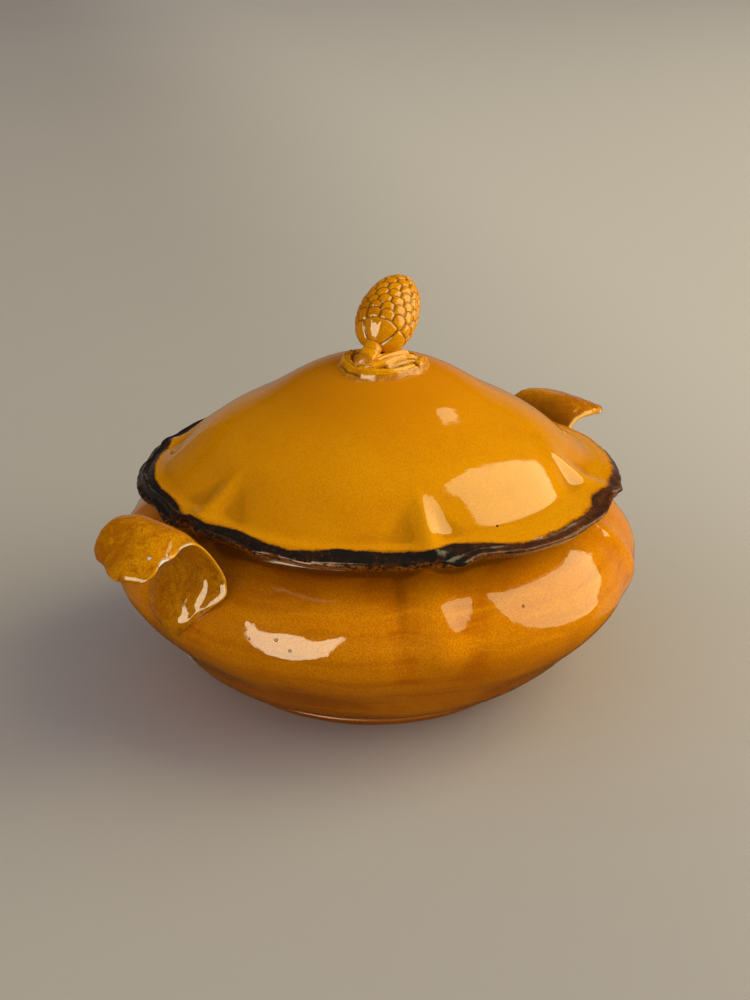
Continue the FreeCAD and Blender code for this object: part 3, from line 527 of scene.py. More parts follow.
def make_leaf(name, points, sign, near_drop, far_drop, shift, chips, seed, near, edge_sag=0.0,
              blunt=0.10, thin=0.50, ear=0.0, bead=0.0):
    count, loop = 190, 160
    u = np.concatenate([np.linspace(0, 0.965, count - 14), 1 - 0.035 * (1 - np.linspace(0, 1, 15)[1:]) ** 1.6])
    u = u[:, None]
    line = spline(points)
    at = line(u[:, 0])
    d = line(np.minimum(1, u[:, 0] + 0.004)) - line(np.maximum(0, u[:, 0] - 0.004))
    d /= np.linalg.norm(d, axis=1)[:, None]
    x, z = at[:, :1], at[:, 1:]
    nx, nz = d[:, 1:], -d[:, :1]
    ang = 2 * math.pi * np.arange(loop) / loop
    c, s = np.cos(ang)[None, :], np.sin(ang)[None, :]
    v = np.sign(c) * np.abs(c) ** 0.80
    t = np.sign(s) * np.abs(s) ** 0.62
    half = np.where(v < 0, table(near, u, 0.012), table(LEAF_FAR, u, 0.03))
    # the free end is rounded off in plan and in thickness
    tip = np.clip((u - 0.965) / 0.035, 0, 1)
    half = half * (1 - blunt * tip ** 2)
    half = half * (1 + 0.012 * noise(np.stack(np.broadcast_arrays(u * 26.0, np.sign(v) * 2.0, 0 * u), -1), seed + 4))
    thick = HANDLE_THICK * (0.62 + 0.38 * smooth(0.0, 0.12, u)) * (1 - 0.30 * smooth(0.85, 1.0, u)) \
        * np.sqrt(np.maximum(1 - 0.90 * tip ** 2, 0.02))
    # thinner towards its long edges
    thick = thick * (1 - thin * smooth(0.50, 1.0, np.abs(v)) * smooth(0.05, 0.25, u))
    thick = thick * (1 + bead * smooth(-0.70, -0.92, v) * smooth(0.62, 0.80, u))
    bend = table(LEAF_BEND, u, 0.03)
    bend = np.where(v < 0, bend * (1 - 0.70 * smooth(0.12, 0.26, u)), bend)
    drop = np.where(v < 0, near_drop, far_drop) * np.abs(v) ** 2.2 * smooth(78, 100, z)
    sag = edge_sag * np.where(v < 0, np.abs(v) ** 3, 0.0) * bell(u - 0.785, 0.075)
    y = v * half + shift
    px = x + nx * thick / 2 * t - bend * v * v
    pz = z + nz * thick / 2 * t
    # the free end bulges a little on its near half
    drawn = ear * smooth(0.84, 1.0, u) * bell(v + 0.36, 0.52)
    px, pz = px + drawn, pz - 0.25 * drawn
    outer = smooth(0.0, 0.6, t)          # face away from the pot, then the flap's underside
    inner = smooth(0.0, 0.6, -t)         # face towards the pot, then the flap's top
    rise = smooth(0.09, 0.15, u) * (1 - smooth(0.44, 0.60, u))
    flap = smooth(0.60, 0.76, u)
    # lightly dished outer face with a raised border, and upright folds towards its front edge
    move = -0.7 * outer * rise * smooth(0.92, 0.70, np.abs(v))
    folds = np.cos((v * half + 5.4) * 2 * math.pi / 7.2) * bell(v * half + 12.0, 9.0)
    move = move + 0.31 * outer * smooth(0.13, 0.18, u) * (1 - smooth(0.34, 0.46, u)) * folds
    move = move + 0.25 * outer * rise * bell(np.abs(v) - 0.90, 0.07)
    # shallow hollow along the flap's top, and a rolled lip where its front edge leaves the crest
    move = move - 0.55 * inner * flap * smooth(0.9, 0.3, np.abs(v))
    lip = smooth(0.60, 0.66, u) * (1 - smooth(0.74, 0.84, u))
    arc = -0.74 - 0.22 * smooth(0.74, 0.85, u)
    move = move + inner * lip * (0.35 * bell(v - arc, 0.08) - 0.35 * bell(v - arc + 0.14, 0.09))
    q = np.stack(np.broadcast_arrays(u * 9.0, v * 3.2, t * 0.9), axis=-1)
    move = move + smooth(0.12, 0.25, u) * (0.22 * noise(q * 1.0, seed) + 0.13 * noise(q * 2.6, seed + 1)
                                           + 0.07 * noise(q * 6.0, seed + 2) * flap) * (0.45 + 0.55 * flap)
    chip = np.zeros_like(px)
    for u0, v0, t0, ru, rv, rt, deep in chips:
        k = np.clip(1.25 - np.sqrt(((u - u0) / ru) ** 2 + ((v - v0) / rv) ** 2 + ((t - t0) / rt) ** 2), 0, 1)
        chip = np.maximum(chip, k)
        move = move - deep * smooth(0.1, 0.6, k)
    px, pz = px + nx * move * t, pz + nz * move * t
    y = y - np.sign(v) * smooth(0.9, 1.0, np.abs(v)) * np.clip(chip * 0.7, 0, 0.7)
    pz = pz - drop * np.maximum(0, pz - 78.0) / 25.0 - sag
    rings = np.stack(np.broadcast_arrays(sign * px, y, pz), axis=-1)
    edges = smooth(0.93, 0.995, np.abs(v)) * smooth(0.1, 0.3, u) * np.ones_like(px)
    # painted shade on the face towards the pot
    shade_towards_pot = inner * (1 - smooth(0.52, 0.78, u)) + 0 * px
    return grid_piece(name, rings, marks={"chip": chip, "flap": np.broadcast_to(flap, px.shape), "worn": edges,
                                          "shade_towards_pot": shade_towards_pot},
                      hollow=(14, 0.6), sharp=60)


# chips: place along and across the leaf and through it, then their reach, then depth
LEFT_CHIPS = [(0.852, -1.0, 0.05, 0.052, 0.085, 0.95, 0.45), (0.705, -1.0, -0.1, 0.055, 0.018, 0.5, 0.15),
              (0.991, -0.50, 0.0, 0.015, 0.20, 1.0, 0.5), (0.877, -0.73, -0.83, 0.012, 0.046, 0.40, 0.4),
              (0.806, -0.92, -0.5, 0.011, 0.030, 0.30, 0.3), (0.972, -0.97, 0.2, 0.020, 0.05, 0.6, 0.4),
              (0.700, 0.96, -0.3, 0.014, 0.03, 0.4, 0.3), (0.930, 0.98, -0.2, 0.025, 0.02, 0.5, 0.2)]
RIGHT_CHIPS = [(0.985, -0.70, 0.0, 0.010, 0.06, 0.8, 0.3), (0.90, -1.0, 0.0, 0.020, 0.02, 0.5, 0.2)]

# ---------------------------------------------------------------- finial
CONE_AXIS = LEAN * 0.345 + FRONT * -0.764 + UP * 0.545
CONE_AXIS = CONE_AXIS / np.linalg.norm(CONE_AXIS)
CONE_FOOT = FINIAL_AT + LEAN * -5.2 + FRONT * 8.0 + UP * 154.2
CONE_SIDE = np.cross(CONE_AXIS, UP)
CONE_SIDE = CONE_SIDE / np.linalg.norm(CONE_SIDE)
CONE_OTHER = np.cross(CONE_AXIS, CONE_SIDE)
CONE = [(2.4, 0.0), (4.6, 0.5), (7.2, 1.9), (9.5, 4.1), (11.2, 6.8), (12.3, 9.8),
        (12.95, 13.0), (13.2, 16.6), (13.0, 20.8), (12.2, 25.4), (10.9, 29.8), (8.9, 33.8),
        (6.5, 36.9), (3.9, 39.2), (1.2, 40.4)]
# rows of scales: upper edge (mm along the axis), scales around, angle of one scale, tilt
SCALES = [(8.0, 4, -71.0, 0.4), (12.7, 12, -64.0, 0.3), (16.9, 14, -70.0, 1.2), (20.6, 14, -56.0, 1.8),
          (25.0, 14, -68.0, 1.8), (29.4, 13, -75.0, 1.6), (33.6, 11, -60.0, 1.2), (37.4, 8, -80.0, 0.6),
          (39.6, 5, -50.0, 0.2), (42.0, 1, 0.0, 0.0)]


def make_cone():
    n = 300
    prof = even_samples(CONE, 210)
    r, a = prof[:, :1], prof[:, 1:]
    s = np.concatenate([[0.0], np.cumsum(np.linalg.norm(np.diff(prof, axis=0), axis=1))])[:, None]
    deg = turn(n)
    grad = np.gradient(prof, axis=0)
    grad /= np.linalg.norm(grad, axis=1)[:, None]
    out_r, out_a = grad[:, 1:], -grad[:, :1]
    tops, offs, widths = [], [], []
    for k, (top, count, at, tilt) in enumerate(SCALES):
        x = (np.mod(deg - at + 180.0 / count, 360.0 / count) - 180.0 / count) / (180.0 / count)
        level = np.interp(top, prof[:, 1], s[:, 0]) + tilt * np.sin((deg + 61.5) * RAD)
        height = 2.6 if k else 2.4
        # each scale is nudged a little, so the rows are not machine regular
        index = np.round((deg - at) / (360.0 / count)).astype(int) % count
        level = level + 0.30 * lattice(index, np.full_like(index, k), np.zeros_like(index), 31)
        tops.append(level - height * np.abs(x) ** 2.4 * (0.55 if k else 0.5))
        offs.append(x)
        widths.append(180.0 / count * RAD)
    relief = np.zeros((len(prof), n))
    groove = np.zeros((len(prof), n))
    near = np.zeros((len(prof), n))
    done = np.zeros((len(prof), n), bool)
    below = np.full((1, n), -3.0)
    for k in range(len(SCALES)):
        mine = (~done) & (s < tops[k])
        to_top = np.maximum(tops[k] - s, 0)
        to_side = np.maximum((1 - np.abs(offs[k])) * widths[k] * np.maximum(r, 1.0), 0)
        from_low = np.maximum(s - below, 0)
        reach = np.minimum(to_top, to_side)
        pillow = 1 - np.exp(-(reach / 0.60) ** 1.25)
        tuck = 1 - 0.18 * np.exp(-(from_low / 0.7) ** 1.2)
        full = 0.78 * pillow * tuck + 0.20 * (1 - offs[k] ** 2) - 0.62
        relief = np.where(mine, full, relief)
        # groove and near mark the dark lines between scales and the browner scale edges: partly pooled glaze, partly
        # painted shade
        groove = np.where(mine, np.exp(-(reach / 0.42) ** 2), groove)
        near = np.where(mine, np.exp(-(reach / 1.15) ** 1.5), near)
        done |= mine
        below = np.maximum(below, tops[k])
    relief = relief * smooth(0.4, 3.0, s) * smooth(0, 2.0, s[-1] - s)
    # soften the relief a little, as under a coat of glaze
    for _ in range(1):
        relief = (relief + np.roll(relief, 1, 1) + np.roll(relief, -1, 1)) / 3
        pad = np.vstack([relief[:1], relief, relief[-1:]])
        relief = (pad[:-2] + pad[1:-1] + pad[2:]) / 3
    rr = r + out_r * relief
    aa = a + out_a * relief
    rings = CONE_FOOT + CONE_AXIS * aa[..., None] \
        + CONE_SIDE * (rr * np.cos(deg * RAD))[..., None] + CONE_OTHER * (rr * np.sin(deg * RAD))[..., None]
    return grid_piece("pine_cone_glazed", rings, marks={"groove": groove, "near": near}, hollow=(9, 0.30))


STEM = [(-10.6, 13.8, 145.0, 4.8), (-9.9, 13.4, 147.2, 4.4), (-8.7, 12.6, 149.4, 4.1),
        (-7.1, 11.0, 151.6, 3.9), (-5.7, 8.8, 153.7, 3.9), (-4.4, 6.4, 155.3, 3.9)]


def make_stem():
    count, n = 80, 96
    u = np.linspace(0, 1, count)
    rows = spline(STEM)
    at = rows(u)
    mid = FINIAL_AT + at[:, :1] * LEAN + at[:, 1:2] * FRONT + at[:, 2:3] * UP
    d = np.gradient(mid, axis=0)
    d /= np.linalg.norm(d, axis=1)[:, None]
    side = np.cross(d, UP)
    side /= np.linalg.norm(side, axis=1)[:, None]
    other = np.cross(d, side)
    deg = turn(n)
    collar = 0.30 * bell(u - 0.80, 0.07) - 0.12 * bell(u - 0.66, 0.05)
    r = at[:, 3:4] + collar[:, None] \
        + 0.28 * np.sin(3 * deg * RAD + 5 * u[:, None]) * smooth(0.9, 0.2, u)[:, None]
    q = np.stack(np.broadcast_arrays(np.cos(deg * RAD) * 2.2, np.sin(deg * RAD) * 2.2, u[:, None] * 6), axis=-1)
    r = r + 0.22 * noise(q, 41)
    rings = mid[:, None] + side[:, None] * (r * np.cos(deg * RAD))[..., None] \
        + other[:, None] * (r * np.sin(deg * RAD))[..., None]
    line = np.maximum(0.35 * bell(u - 0.66, 0.03), bell(u - 0.91, 0.03))[:, None] + 0 * deg
    # near: browner towards the stem's ends, where it meets the pad and the cone: partly pooled glaze, partly painted
    # shade
    near = np.maximum(smooth(0.62, 0.35, u), smooth(0.80, 0.95, u))[:, None] + 0 * deg
    return grid_piece("finial_stem_glazed", rings, marks={"groove": line, "near": near}, hollow=(8, 0.3))


PAD_CENTRE = (-0.9, 8.6)
PAD_REACH = [(15, 17.8), (37, 15.4), (50, 14.8), (72, 15.4), (103, 16.4), (126, 18.4),
             (147, 19.9), (164, 20.1), (180, 20.3), (197, 20.5), (214, 19.4), (232, 16.4),
             (255, 13.9), (280, 14.0), (303, 16.0), (323, 20.0), (338, 21.6), (352, 20.3)]
# raised needles and twig ends on the pad: width and height at both ends, then the path
PAD_ROLLS = [
    (3.6, 4.0, 3.0, 3.6, [(-14.5, -4.5), (-17.2, 2.0), (-17.2, 9.0), (-14.4, 16.0), (-9.5, 20.2), (-4.0, 21.6),
                          (2.0, 21.0), (8.0, 18.0), (12.6, 13.6)]),
    (3.4, 4.4, 2.0, 4.6, [(-12.0, 15.2), (-6.0, 17.0), (-0.5, 14.4), (4.2, 9.8), (8.6, 6.8), (12.6, 5.8)]),
    (2.6, 5.4, 1.7, 4.8, [(-4.0, 11.6), (1.0, 7.8), (5.6, 4.0), (9.4, 1.8)]),
    (2.0, 3.9, 1.4, 3.8, [(1.0, 17.6), (5.4, 13.8), (9.8, 11.0), (13.4, 9.6)]),
    (3.6, 4.6, 3.2, 3.8, [(15.2, 11.6), (16.8, 8.0), (17.6, 4.0)]),
    (3.2, 3.6, 2.6, 3.2, [(-13.5, -2.0), (-7.0, -3.4), (0.0, -4.0), (7.0, -3.0), (13.0, -0.6)]),
]


def crown_height(along, front):
    return np.interp(np.hypot(along + FINIAL_OFFSET, front), dome_line[:, 0], dome_line[:, 1])


def make_pad():
    n = 240
    deg = turn(n)
    rows = np.array(PAD_REACH, float)
    loop = np.vstack([rows[-4:] - [360, 0], rows, rows[:4] + [360, 0]])
    fine = spline(loop)(np.linspace(0, 1, 3000))
    reach = np.interp(deg, fine[:, 0], fine[:, 1])
    f = np.concatenate([np.linspace(0.02, 0.9, 60), np.linspace(0.9, 1.0, 22)[1:], np.full(8, 1.0)])[:, None]
    sink = np.concatenate([np.zeros(81), np.linspace(0, 3.0, 9)[1:]])[:, None]
    along = PAD_CENTRE[0] + f * reach * np.cos(deg * RAD)
    front = PAD_CENTRE[1] + f * reach * np.sin(deg * RAD)
    body = 2.5 * np.sqrt(np.maximum(1 - f ** 7, 0))
    lumps = [body + 0 * along]
    for w0, h0, w1, h1, path in PAD_ROLLS:
        dist, t = path_distance(along, front, path)
        w, h = w0 + (w1 - w0) * t, h0 + (h1 - h0) * t
        # each is creased along its length
        crease = 0.30 * np.cos(dist * 2 * math.pi / 1.7 + 7 * t) * smooth(1.0, 0.6, dist / w)
        lumps.append(np.where(dist < w, (h + crease) * np.sqrt(np.maximum(1 - (dist / w) ** 2, 0)), 0.0))
    root = np.hypot((along + 8.2) / 6.4, (front - 12.4) / 5.2)
    lumps.append(3.0 * np.sqrt(np.maximum(1 - root ** 2, 0)))
    lift = soft_max(lumps, 4.5) - math.log(len(lumps)) / 4.5 * 0.6
    ranked = np.sort(np.stack(lumps), axis=0)
    groove = bell(ranked[-1] - ranked[-2], 0.60) * smooth(0.99, 0.90, f)
    # near: browner between the rolls and round the pad's foot on the lid: partly pooled glaze, partly painted shade
    near = np.maximum(bell(ranked[-1] - ranked[-2], 1.5), smooth(0.88, 0.97, f) + 0 * along)
    lift = lift - 0.6 * groove
    q = np.stack([along / 2.6, front / 2.6, np.zeros_like(along)], axis=-1)
    lift = lift + 0.16 * noise(q, 51) * smooth(1.0, 0.9, f)
    lift = lift * np.sqrt(np.maximum(1 - smooth(0.90, 1.0, f) ** 2 * 0.92, 0)) - sink
    z = crown_height(along, front) + lift
    rings = FINIAL_AT + along[..., None] * LEAN + front[..., None] * FRONT + z[..., None] * UP
    return grid_piece("finial_base_glazed", rings, marks={"groove": groove, "near": near}, hollow=(10, 0.35),
                      sharp=70)


# ---------------------------------------------------------------- materials
class Graph:
    """Small helper for building a node tree."""

    def __init__(self, name):
        self.material = bpy.data.materials.new(name)
        self.material.use_nodes = True
        self.tree = self.material.node_tree
        self.tree.nodes.clear()
        self.out = self.new("ShaderNodeOutputMaterial")
        self.bsdf = self.new("ShaderNodeBsdfPrincipled")
        self.link(self.bsdf.outputs["BSDF"], self.out.inputs["Surface"])
        self.object = self.new("ShaderNodeTexCoord").outputs["Object"]

    def new(self, kind, **props):
        node = self.tree.nodes.new(kind)
        for key, value in props.items():
            setattr(node, key, value)
        return node

    def link(self, a, b):
        self.tree.links.new(a, b)

    def put(self, socket, value):
        if hasattr(value, "is_linked"):
            self.link(value, socket)
        else:
            socket.default_value = value

    def math(self, op, a, b=0.0, c=0.0, clamp=False):
        node = self.new("ShaderNodeMath", operation=op, use_clamp=clamp)
        for k, value in enumerate((a, b, c)):
            self.put(node.inputs[k], value)
        return node.outputs[0]

    def ramp(self, value, low, high, to_low=0.0, to_high=1.0):
        node = self.new("ShaderNodeMapRange", clamp=True, interpolation_type="SMOOTHSTEP")
        for key, v in (("Value", value), ("From Min", low), ("From Max", high), ("To Min", to_low), ("To Max", to_high)):
            self.put(node.inputs[key], v)
        return node.outputs["Result"]

    def mix(self, factor, a, b, mode="MIX"):
        node = self.new("ShaderNodeMix", data_type="RGBA", blend_type=mode, clamp_factor=True)
        self.put(node.inputs[0], factor)
        for socket, value in ((node.inputs[6], a), (node.inputs[7], b)):
            self.put(socket, value if hasattr(value, "is_linked") else (*value, 1.0))
        return node.outputs[2]

    def noise(self, scale, detail=3.0, rough=0.5, distortion=0.0, vector=None):
        node = self.new("ShaderNodeTexNoise")
        self.link(vector if vector is not None else self.object, node.inputs["Vector"])
        for key, v in (("Scale", scale), ("Detail", detail), ("Roughness", rough), ("Distortion", distortion)):
            node.inputs[key].default_value = v
        return node.outputs["Fac"]

    def mark(self, key):
        return self.new("ShaderNodeAttribute", attribute_name=key).outputs["Fac"]

    def spots(self, scale, share, radius):
        """1 inside small round pits, a share of the cells of a scatter."""
        node = self.new("ShaderNodeTexVoronoi", feature="F1")
        self.link(self.object, node.inputs["Vector"])
        node.inputs["Scale"].default_value = scale
        pick = self.new("ShaderNodeSeparateColor")
        self.link(node.outputs["Color"], pick.inputs[0])
        chosen = self.math("LESS_THAN", pick.outputs[0], share)
        size = self.math("MULTIPLY_ADD", pick.outputs[1], radius * scale * 0.8, radius * scale * 0.5)
        near = self.ramp(self.math("SUBTRACT", size, node.outputs["Distance"]), 0.0, radius * scale * 0.4)
        return self.math("MULTIPLY", chosen, near)

    def streaks(self, around, up):
        """Noise drawn out round the pot's axis, as left by a brush or the wheel."""
        part = self.new("ShaderNodeSeparateXYZ")
        self.link(self.object, part.inputs[0])
        angle = self.math("ARCTAN2", part.outputs[1], part.outputs[0])
        bent = self.math("MULTIPLY_ADD", self.noise(30.0, 2.0), 0.010, part.outputs[2])
        join = self.new("ShaderNodeCombineXYZ")
        self.put(join.inputs[0], self.math("MULTIPLY", self.math("COSINE", angle), around))
        self.put(join.inputs[1], self.math("MULTIPLY", self.math("SINE", angle), around))
        self.put(join.inputs[2], self.math("MULTIPLY", bent, up))
        return self.noise(1.0, 4.0, 0.6, 0.2, join.outputs[0])

    def height(self):
        part = self.new("ShaderNodeSeparateXYZ")
        self.link(self.object, part.inputs[0])
        return part.outputs[2]

    def bump(self, value, strength, distance, after=None):
        node = self.new("ShaderNodeBump")
        node.inputs["Strength"].default_value = strength
        node.inputs["Distance"].default_value = distance
        self.link(value, node.inputs["Height"])
        if after is not None:
            self.link(after, node.inputs["Normal"])
        return node.outputs["Normal"]


CLAY = (0.62, 0.52, 0.40)
DEEP_POOL_AND_SHADE = (0.085, 0.022, 0.0012)


def amber(name, light, mid, dark, pool_and_shade=1.0, streak=0.0, chips=False, edge=False, low_edge=False, mottle=0.0,
          peel=1.0, grooves=False, clouds=1.0, crown=0.0, neck=0.0, dry=0.0, pins=()):
    """Transparent honey glaze: clouded; browner in hollows, partly pooled glaze and partly painted shade; lighter on
    raised edges, partly thin glaze and partly painted highlight.
    """
    g = Graph(name)
    cloud = g.noise(15.0, 4.0, 0.55, 0.5)
    fine = g.noise(70.0, 3.0, 0.6, 0.2)
    col = g.mix(g.ramp(cloud, 0.36, 0.52, 1.0 - clouds, 1.0), dark, mid)
    col = g.mix(g.ramp(cloud, 0.50, 0.72, 0.0, 0.85 * clouds), col, light)
    col = g.mix(g.ramp(fine, 0.52, 0.74, 0.0, 0.30), col, dark)
    if streak:
        lines = g.streaks(1.6, 190.0)
        col = g.mix(g.ramp(lines, 0.50, 0.66, 0.0, 0.75 * streak), col, dark)
        col = g.mix(g.ramp(lines, 0.47, 0.33, 0.0, 0.60 * streak), col, light)
    if mottle:
        blot = g.noise(260.0, 3.0, 0.65, 0.6)
        patch = g.noise(95.0, 4.0, 0.6, 0.9)
        col = g.mix(g.ramp(patch, 0.51, 0.68, 0.0, 0.75 * mottle), col, dark)
        col = g.mix(g.ramp(patch, 0.47, 0.33, 0.0, 0.70 * mottle), col, light)
        col = g.mix(g.math("MULTIPLY", g.ramp(blot, 0.50, 0.68), mottle), col, dark)
        col = g.mix(g.math("MULTIPLY", g.ramp(blot, 0.44, 0.30), mottle * 0.6), col, light)
    hollow = g.mark("cavity")
    # painted shade in hollows, where the glaze also pools; painted highlight on raised edges, where the glaze also
    # runs thin
    col = g.mix(g.ramp(hollow, 0.06, 0.85, 0.0, 0.92 * pool_and_shade), col, DEEP_POOL_AND_SHADE)
    col = g.mix(g.ramp(hollow, -0.10, -0.75, 0.0, 0.50), col, light)
    if grooves:
        # partly pooled glaze, partly painted shade: brown near edges and joins, dark lines in the grooves
        brown = g.math("MULTIPLY", g.mark("near"), g.ramp(g.noise(420.0, 3.0, 0.6), 0.32, 0.62, 0.45, 1.0))
        col = g.mix(g.ramp(brown, 0.12, 0.95, 0.0, 0.80), col, (0.34, 0.098, 0.0012))
        col = g.mix(g.ramp(g.mark("groove"), 0.10, 0.80, 0.0, 0.95), col, (0.085, 0.022, 0.0012))
    grain = g.noise(1500.0, 2.0, 0.6)
    col = g.mix(g.ramp(grain, 0.42, 0.64, 0.0, 0.55), col, dark)
    col = g.mix(g.ramp(grain, 0.48, 0.30, 0.0, 0.50), col, light)
    pits = g.spots(62.0, 0.16, 0.00042)
    col = g.mix(g.math("MULTIPLY", pits, 0.85), col, (0.03, 0.010, 0.002))
    for x, y, z, size in pins:
        # pinholes in the glaze
        gap = g.new("ShaderNodeVectorMath", operation="DISTANCE")
        g.link(g.object, gap.inputs[0])
        gap.inputs[1].default_value = (x * MM, y * MM, z * MM)
        hole = g.ramp(gap.outputs["Value"], size * MM, size * MM * 0.45)
        pits = g.math("MAXIMUM", pits, hole)
        col = g.mix(hole, col, (0.02, 0.007, 0.002))
    if crown:
        # darker towards the top of the lid, round the finial
        col = g.mix(g.ramp(g.height(), 0.118, 0.142, 0.0, crown), col, dark)
    rough = g.ramp(fine, 0.3, 0.75, 0.035 + dry, 0.085 + dry)
    if neck:
        # rougher under the lid's edge, and painted shade: darker towards the top of the neck, under the lid's overhang
        col = g.mix(g.ramp(g.height(), 0.074, 0.085, 0.0, 0.45), col, DEEP_POOL_AND_SHADE)
        rough = g.math("ADD", rough, g.ramp(g.height(), 0.079, 0.083, 0.0, neck))
    if grooves:
        rough = g.math("MULTIPLY_ADD", g.ramp(g.mark("near"), 0.75, 1.0), 0.16, rough)
    wave = g.noise(110.0, 2.0, 0.5)
    skin = g.noise(420.0, 2.0, 0.5)
    normal = g.bump(wave, 0.10 * peel, 0.0012)
    normal = g.bump(skin, 0.05 * peel, 0.0004, normal)
    normal = g.bump(g.math("MULTIPLY", pits, -1.0), 0.5, 0.0004, normal)
    if edge:
        # manganese-dark glaze on the lid's edge: it ends in an uneven, feathered line, is
        # rust-coloured where it runs thin, and lets amber through on the lowest edge
        wander = g.math("MULTIPLY_ADD", g.noise(120.0, 3.0, 0.6), 2.6,
                        g.math("MULTIPLY_ADD", g.noise(900.0, 2.0), 0.9, 5.15))
        inside = g.math("SUBTRACT", wander, g.mark("edge"))
        blot = g.noise(170.0, 4.0, 0.62, 0.8)
        fleck = g.noise(640.0, 3.0, 0.7, 0.5)
        low, lower = g.mark("under"), g.ramp(g.mark("down"), 6.0, 9.6, 0.12, 1.0)
        thin = g.math("MULTIPLY", lower, g.ramp(blot, 0.45, 0.60), clamp=True)
        # browner on the right-hand lobes: partly brown glaze, partly painted light on the lit side
        ground = g.mix(g.math("MULTIPLY", g.mark("brown"), g.ramp(blot, 0.35, 0.55, 0.45, 1.0)),
                       (0.012, 0.009, 0.008), (0.070, 0.021, 0.008))
        ink = g.mix(g.math("MULTIPLY", thin, 0.85), ground, (0.115, 0.028, 0.006))
        ink = g.mix(g.math("MULTIPLY", thin, g.ramp(fleck, 0.52, 0.68)), ink, (0.40, 0.125, 0.006))
        # near black in the hollows of the edge: partly thick dark glaze, partly painted shade
        ink = g.mix(g.ramp(hollow, 0.15, 0.8, 0.0, 0.85), ink, (0.006, 0.004, 0.003))
        last = g.math("MULTIPLY_ADD", g.math("SUBTRACT", g.noise(220.0, 3.0), 0.5), 0.9, low)
        ink = g.mix(g.ramp(last, 0.35, 0.70, 0.0, 0.95), ink,
                    g.mix(g.ramp(fleck, 0.40, 0.62), (0.030, 0.010, 0.004),
                          g.mix(g.noise(90.0, 3.0), (0.16, 0.040, 0.003), (0.36, 0.110, 0.004))))
        col = g.mix(g.ramp(inside, -1.1, 0.1, 0.0, 0.75), col, (0.20, 0.050, 0.002))
        inked = g.ramp(inside, -0.25, 0.45)
        col = g.mix(inked, col, ink)
        rough = g.math("MULTIPLY_ADD", inked, g.ramp(fleck, 0.3, 0.7, 0.03, 0.10), rough)
        normal = g.bump(g.math("MULTIPLY", fleck, inked), 0.22, 0.0005, normal)
        # the thin brown glaze has a duller, warmer shine than the thick dark glaze
        warm = g.mix(inked, (1.0, 1.0, 1.0), (0.92, 0.80, 0.78))
        warm = g.mix(g.math("MULTIPLY", g.mark("brown"), inked), warm, (0.58, 0.36, 0.34))
        g.link(warm, g.bsdf.inputs["Specular Tint"])
    if low_edge:
        # wiped standing edge: bare clay under the foot
        z = g.height()
        bare = g.ramp(g.math("MULTIPLY_ADD", g.noise(180.0, 3.0), 0.0012, z), 0.0011, 0.0007)
        col = g.mix(bare, col, g.mix(g.noise(300.0, 3.0), CLAY, (0.30, 0.19, 0.11)))
        rough = g.math("MULTIPLY_ADD", bare, 0.6, rough)
    if chips:
        # painted shade: darker brown on the side towards the pot; lighter, thin glaze on the long edges
        col = g.mix(g.math("MULTIPLY", g.mark("shade_towards_pot"), 0.88), col, (0.19, 0.050, 0.001))
        col = g.mix(g.math("MULTIPLY", g.mark("worn"), 0.55), col, light)
        worn = g.mark("chip")
        torn = g.math("MULTIPLY_ADD", g.noise(700.0, 3.0, 0.7), 0.9, worn)
        bare = g.ramp(torn, 0.86, 0.98)
        col = g.mix(g.ramp(torn, 0.70, 0.86, 0.0, 0.8), col, (0.05, 0.015, 0.003))
        col = g.mix(bare, col, g.mix(g.noise(1200.0, 2.0), (0.80, 0.74, 0.64), (0.52, 0.40, 0.26)))
        rough = g.math("MULTIPLY_ADD", bare, 0.6, rough)
    g.link(col, g.bsdf.inputs["Base Color"])
    g.link(rough, g.bsdf.inputs["Roughness"])
    g.link(normal, g.bsdf.inputs["Normal"])
    g.bsdf.inputs["IOR"].default_value = 1.56
    return g.material


LID_LIGHT, LID_MID, LID_DARK = (0.76, 0.312, 0.0010), (0.675, 0.254, 0.0008), (0.53, 0.170, 0.0005)
BOWL_LIGHT, BOWL_MID, BOWL_DARK = (0.75, 0.262, 0.0009), (0.625, 0.186, 0.0007), (0.41, 0.098, 0.0004)
LEAF_LIGHT, LEAF_MID, LEAF_DARK = (0.78, 0.326, 0.0012), (0.62, 0.228, 0.0008), (0.36, 0.098, 0.0004)
FIN_LIGHT, FIN_MID, FIN_DARK = (0.84, 0.380, 0.0020), (0.73, 0.290, 0.0012), (0.54, 0.170, 0.0006)

bowl_glaze = amber("amber_glaze", BOWL_LIGHT, BOWL_MID, BOWL_DARK, streak=1.1, pool_and_shade=0.8, neck=0.08,
                   pins=((-107.3, -49.3, 63.0, 0.9), (-105.5, -55.5, 59.6, 0.8), (-112.0, -38.2, 61.3, 0.7),
                         (-26.3, -111.0, 70.7, 0.8)))
foot_glaze = amber("foot_glaze", BOWL_MID, (0.42, 0.100, 0.001), (0.28, 0.062, 0.001), streak=0.5, low_edge=True, dry=0.30)
lid_glaze = amber("lid_glaze", LID_LIGHT, LID_MID, LID_DARK, edge=True, streak=0.15, pool_and_shade=0.34, clouds=0.5, crown=0.75,
                  pins=((-23.3, -93.4, 100.2, 0.8),))
flange_glaze = amber("lid_flange_glaze", LID_LIGHT, LID_MID, LID_DARK, streak=0.3)
handle_glaze = amber("handle_glaze", LEAF_LIGHT, LEAF_MID, LEAF_DARK, chips=True, mottle=0.75, peel=1.6)
finial_glaze = amber("finial_glaze", FIN_LIGHT, FIN_MID, FIN_DARK, pool_and_shade=1.0, peel=0.8, grooves=True)
rim_glaze = amber("dark_rim_glaze", LID_LIGHT, LID_MID, LID_DARK, edge=True, streak=0.15, pool_and_shade=0.34, clouds=0.5)

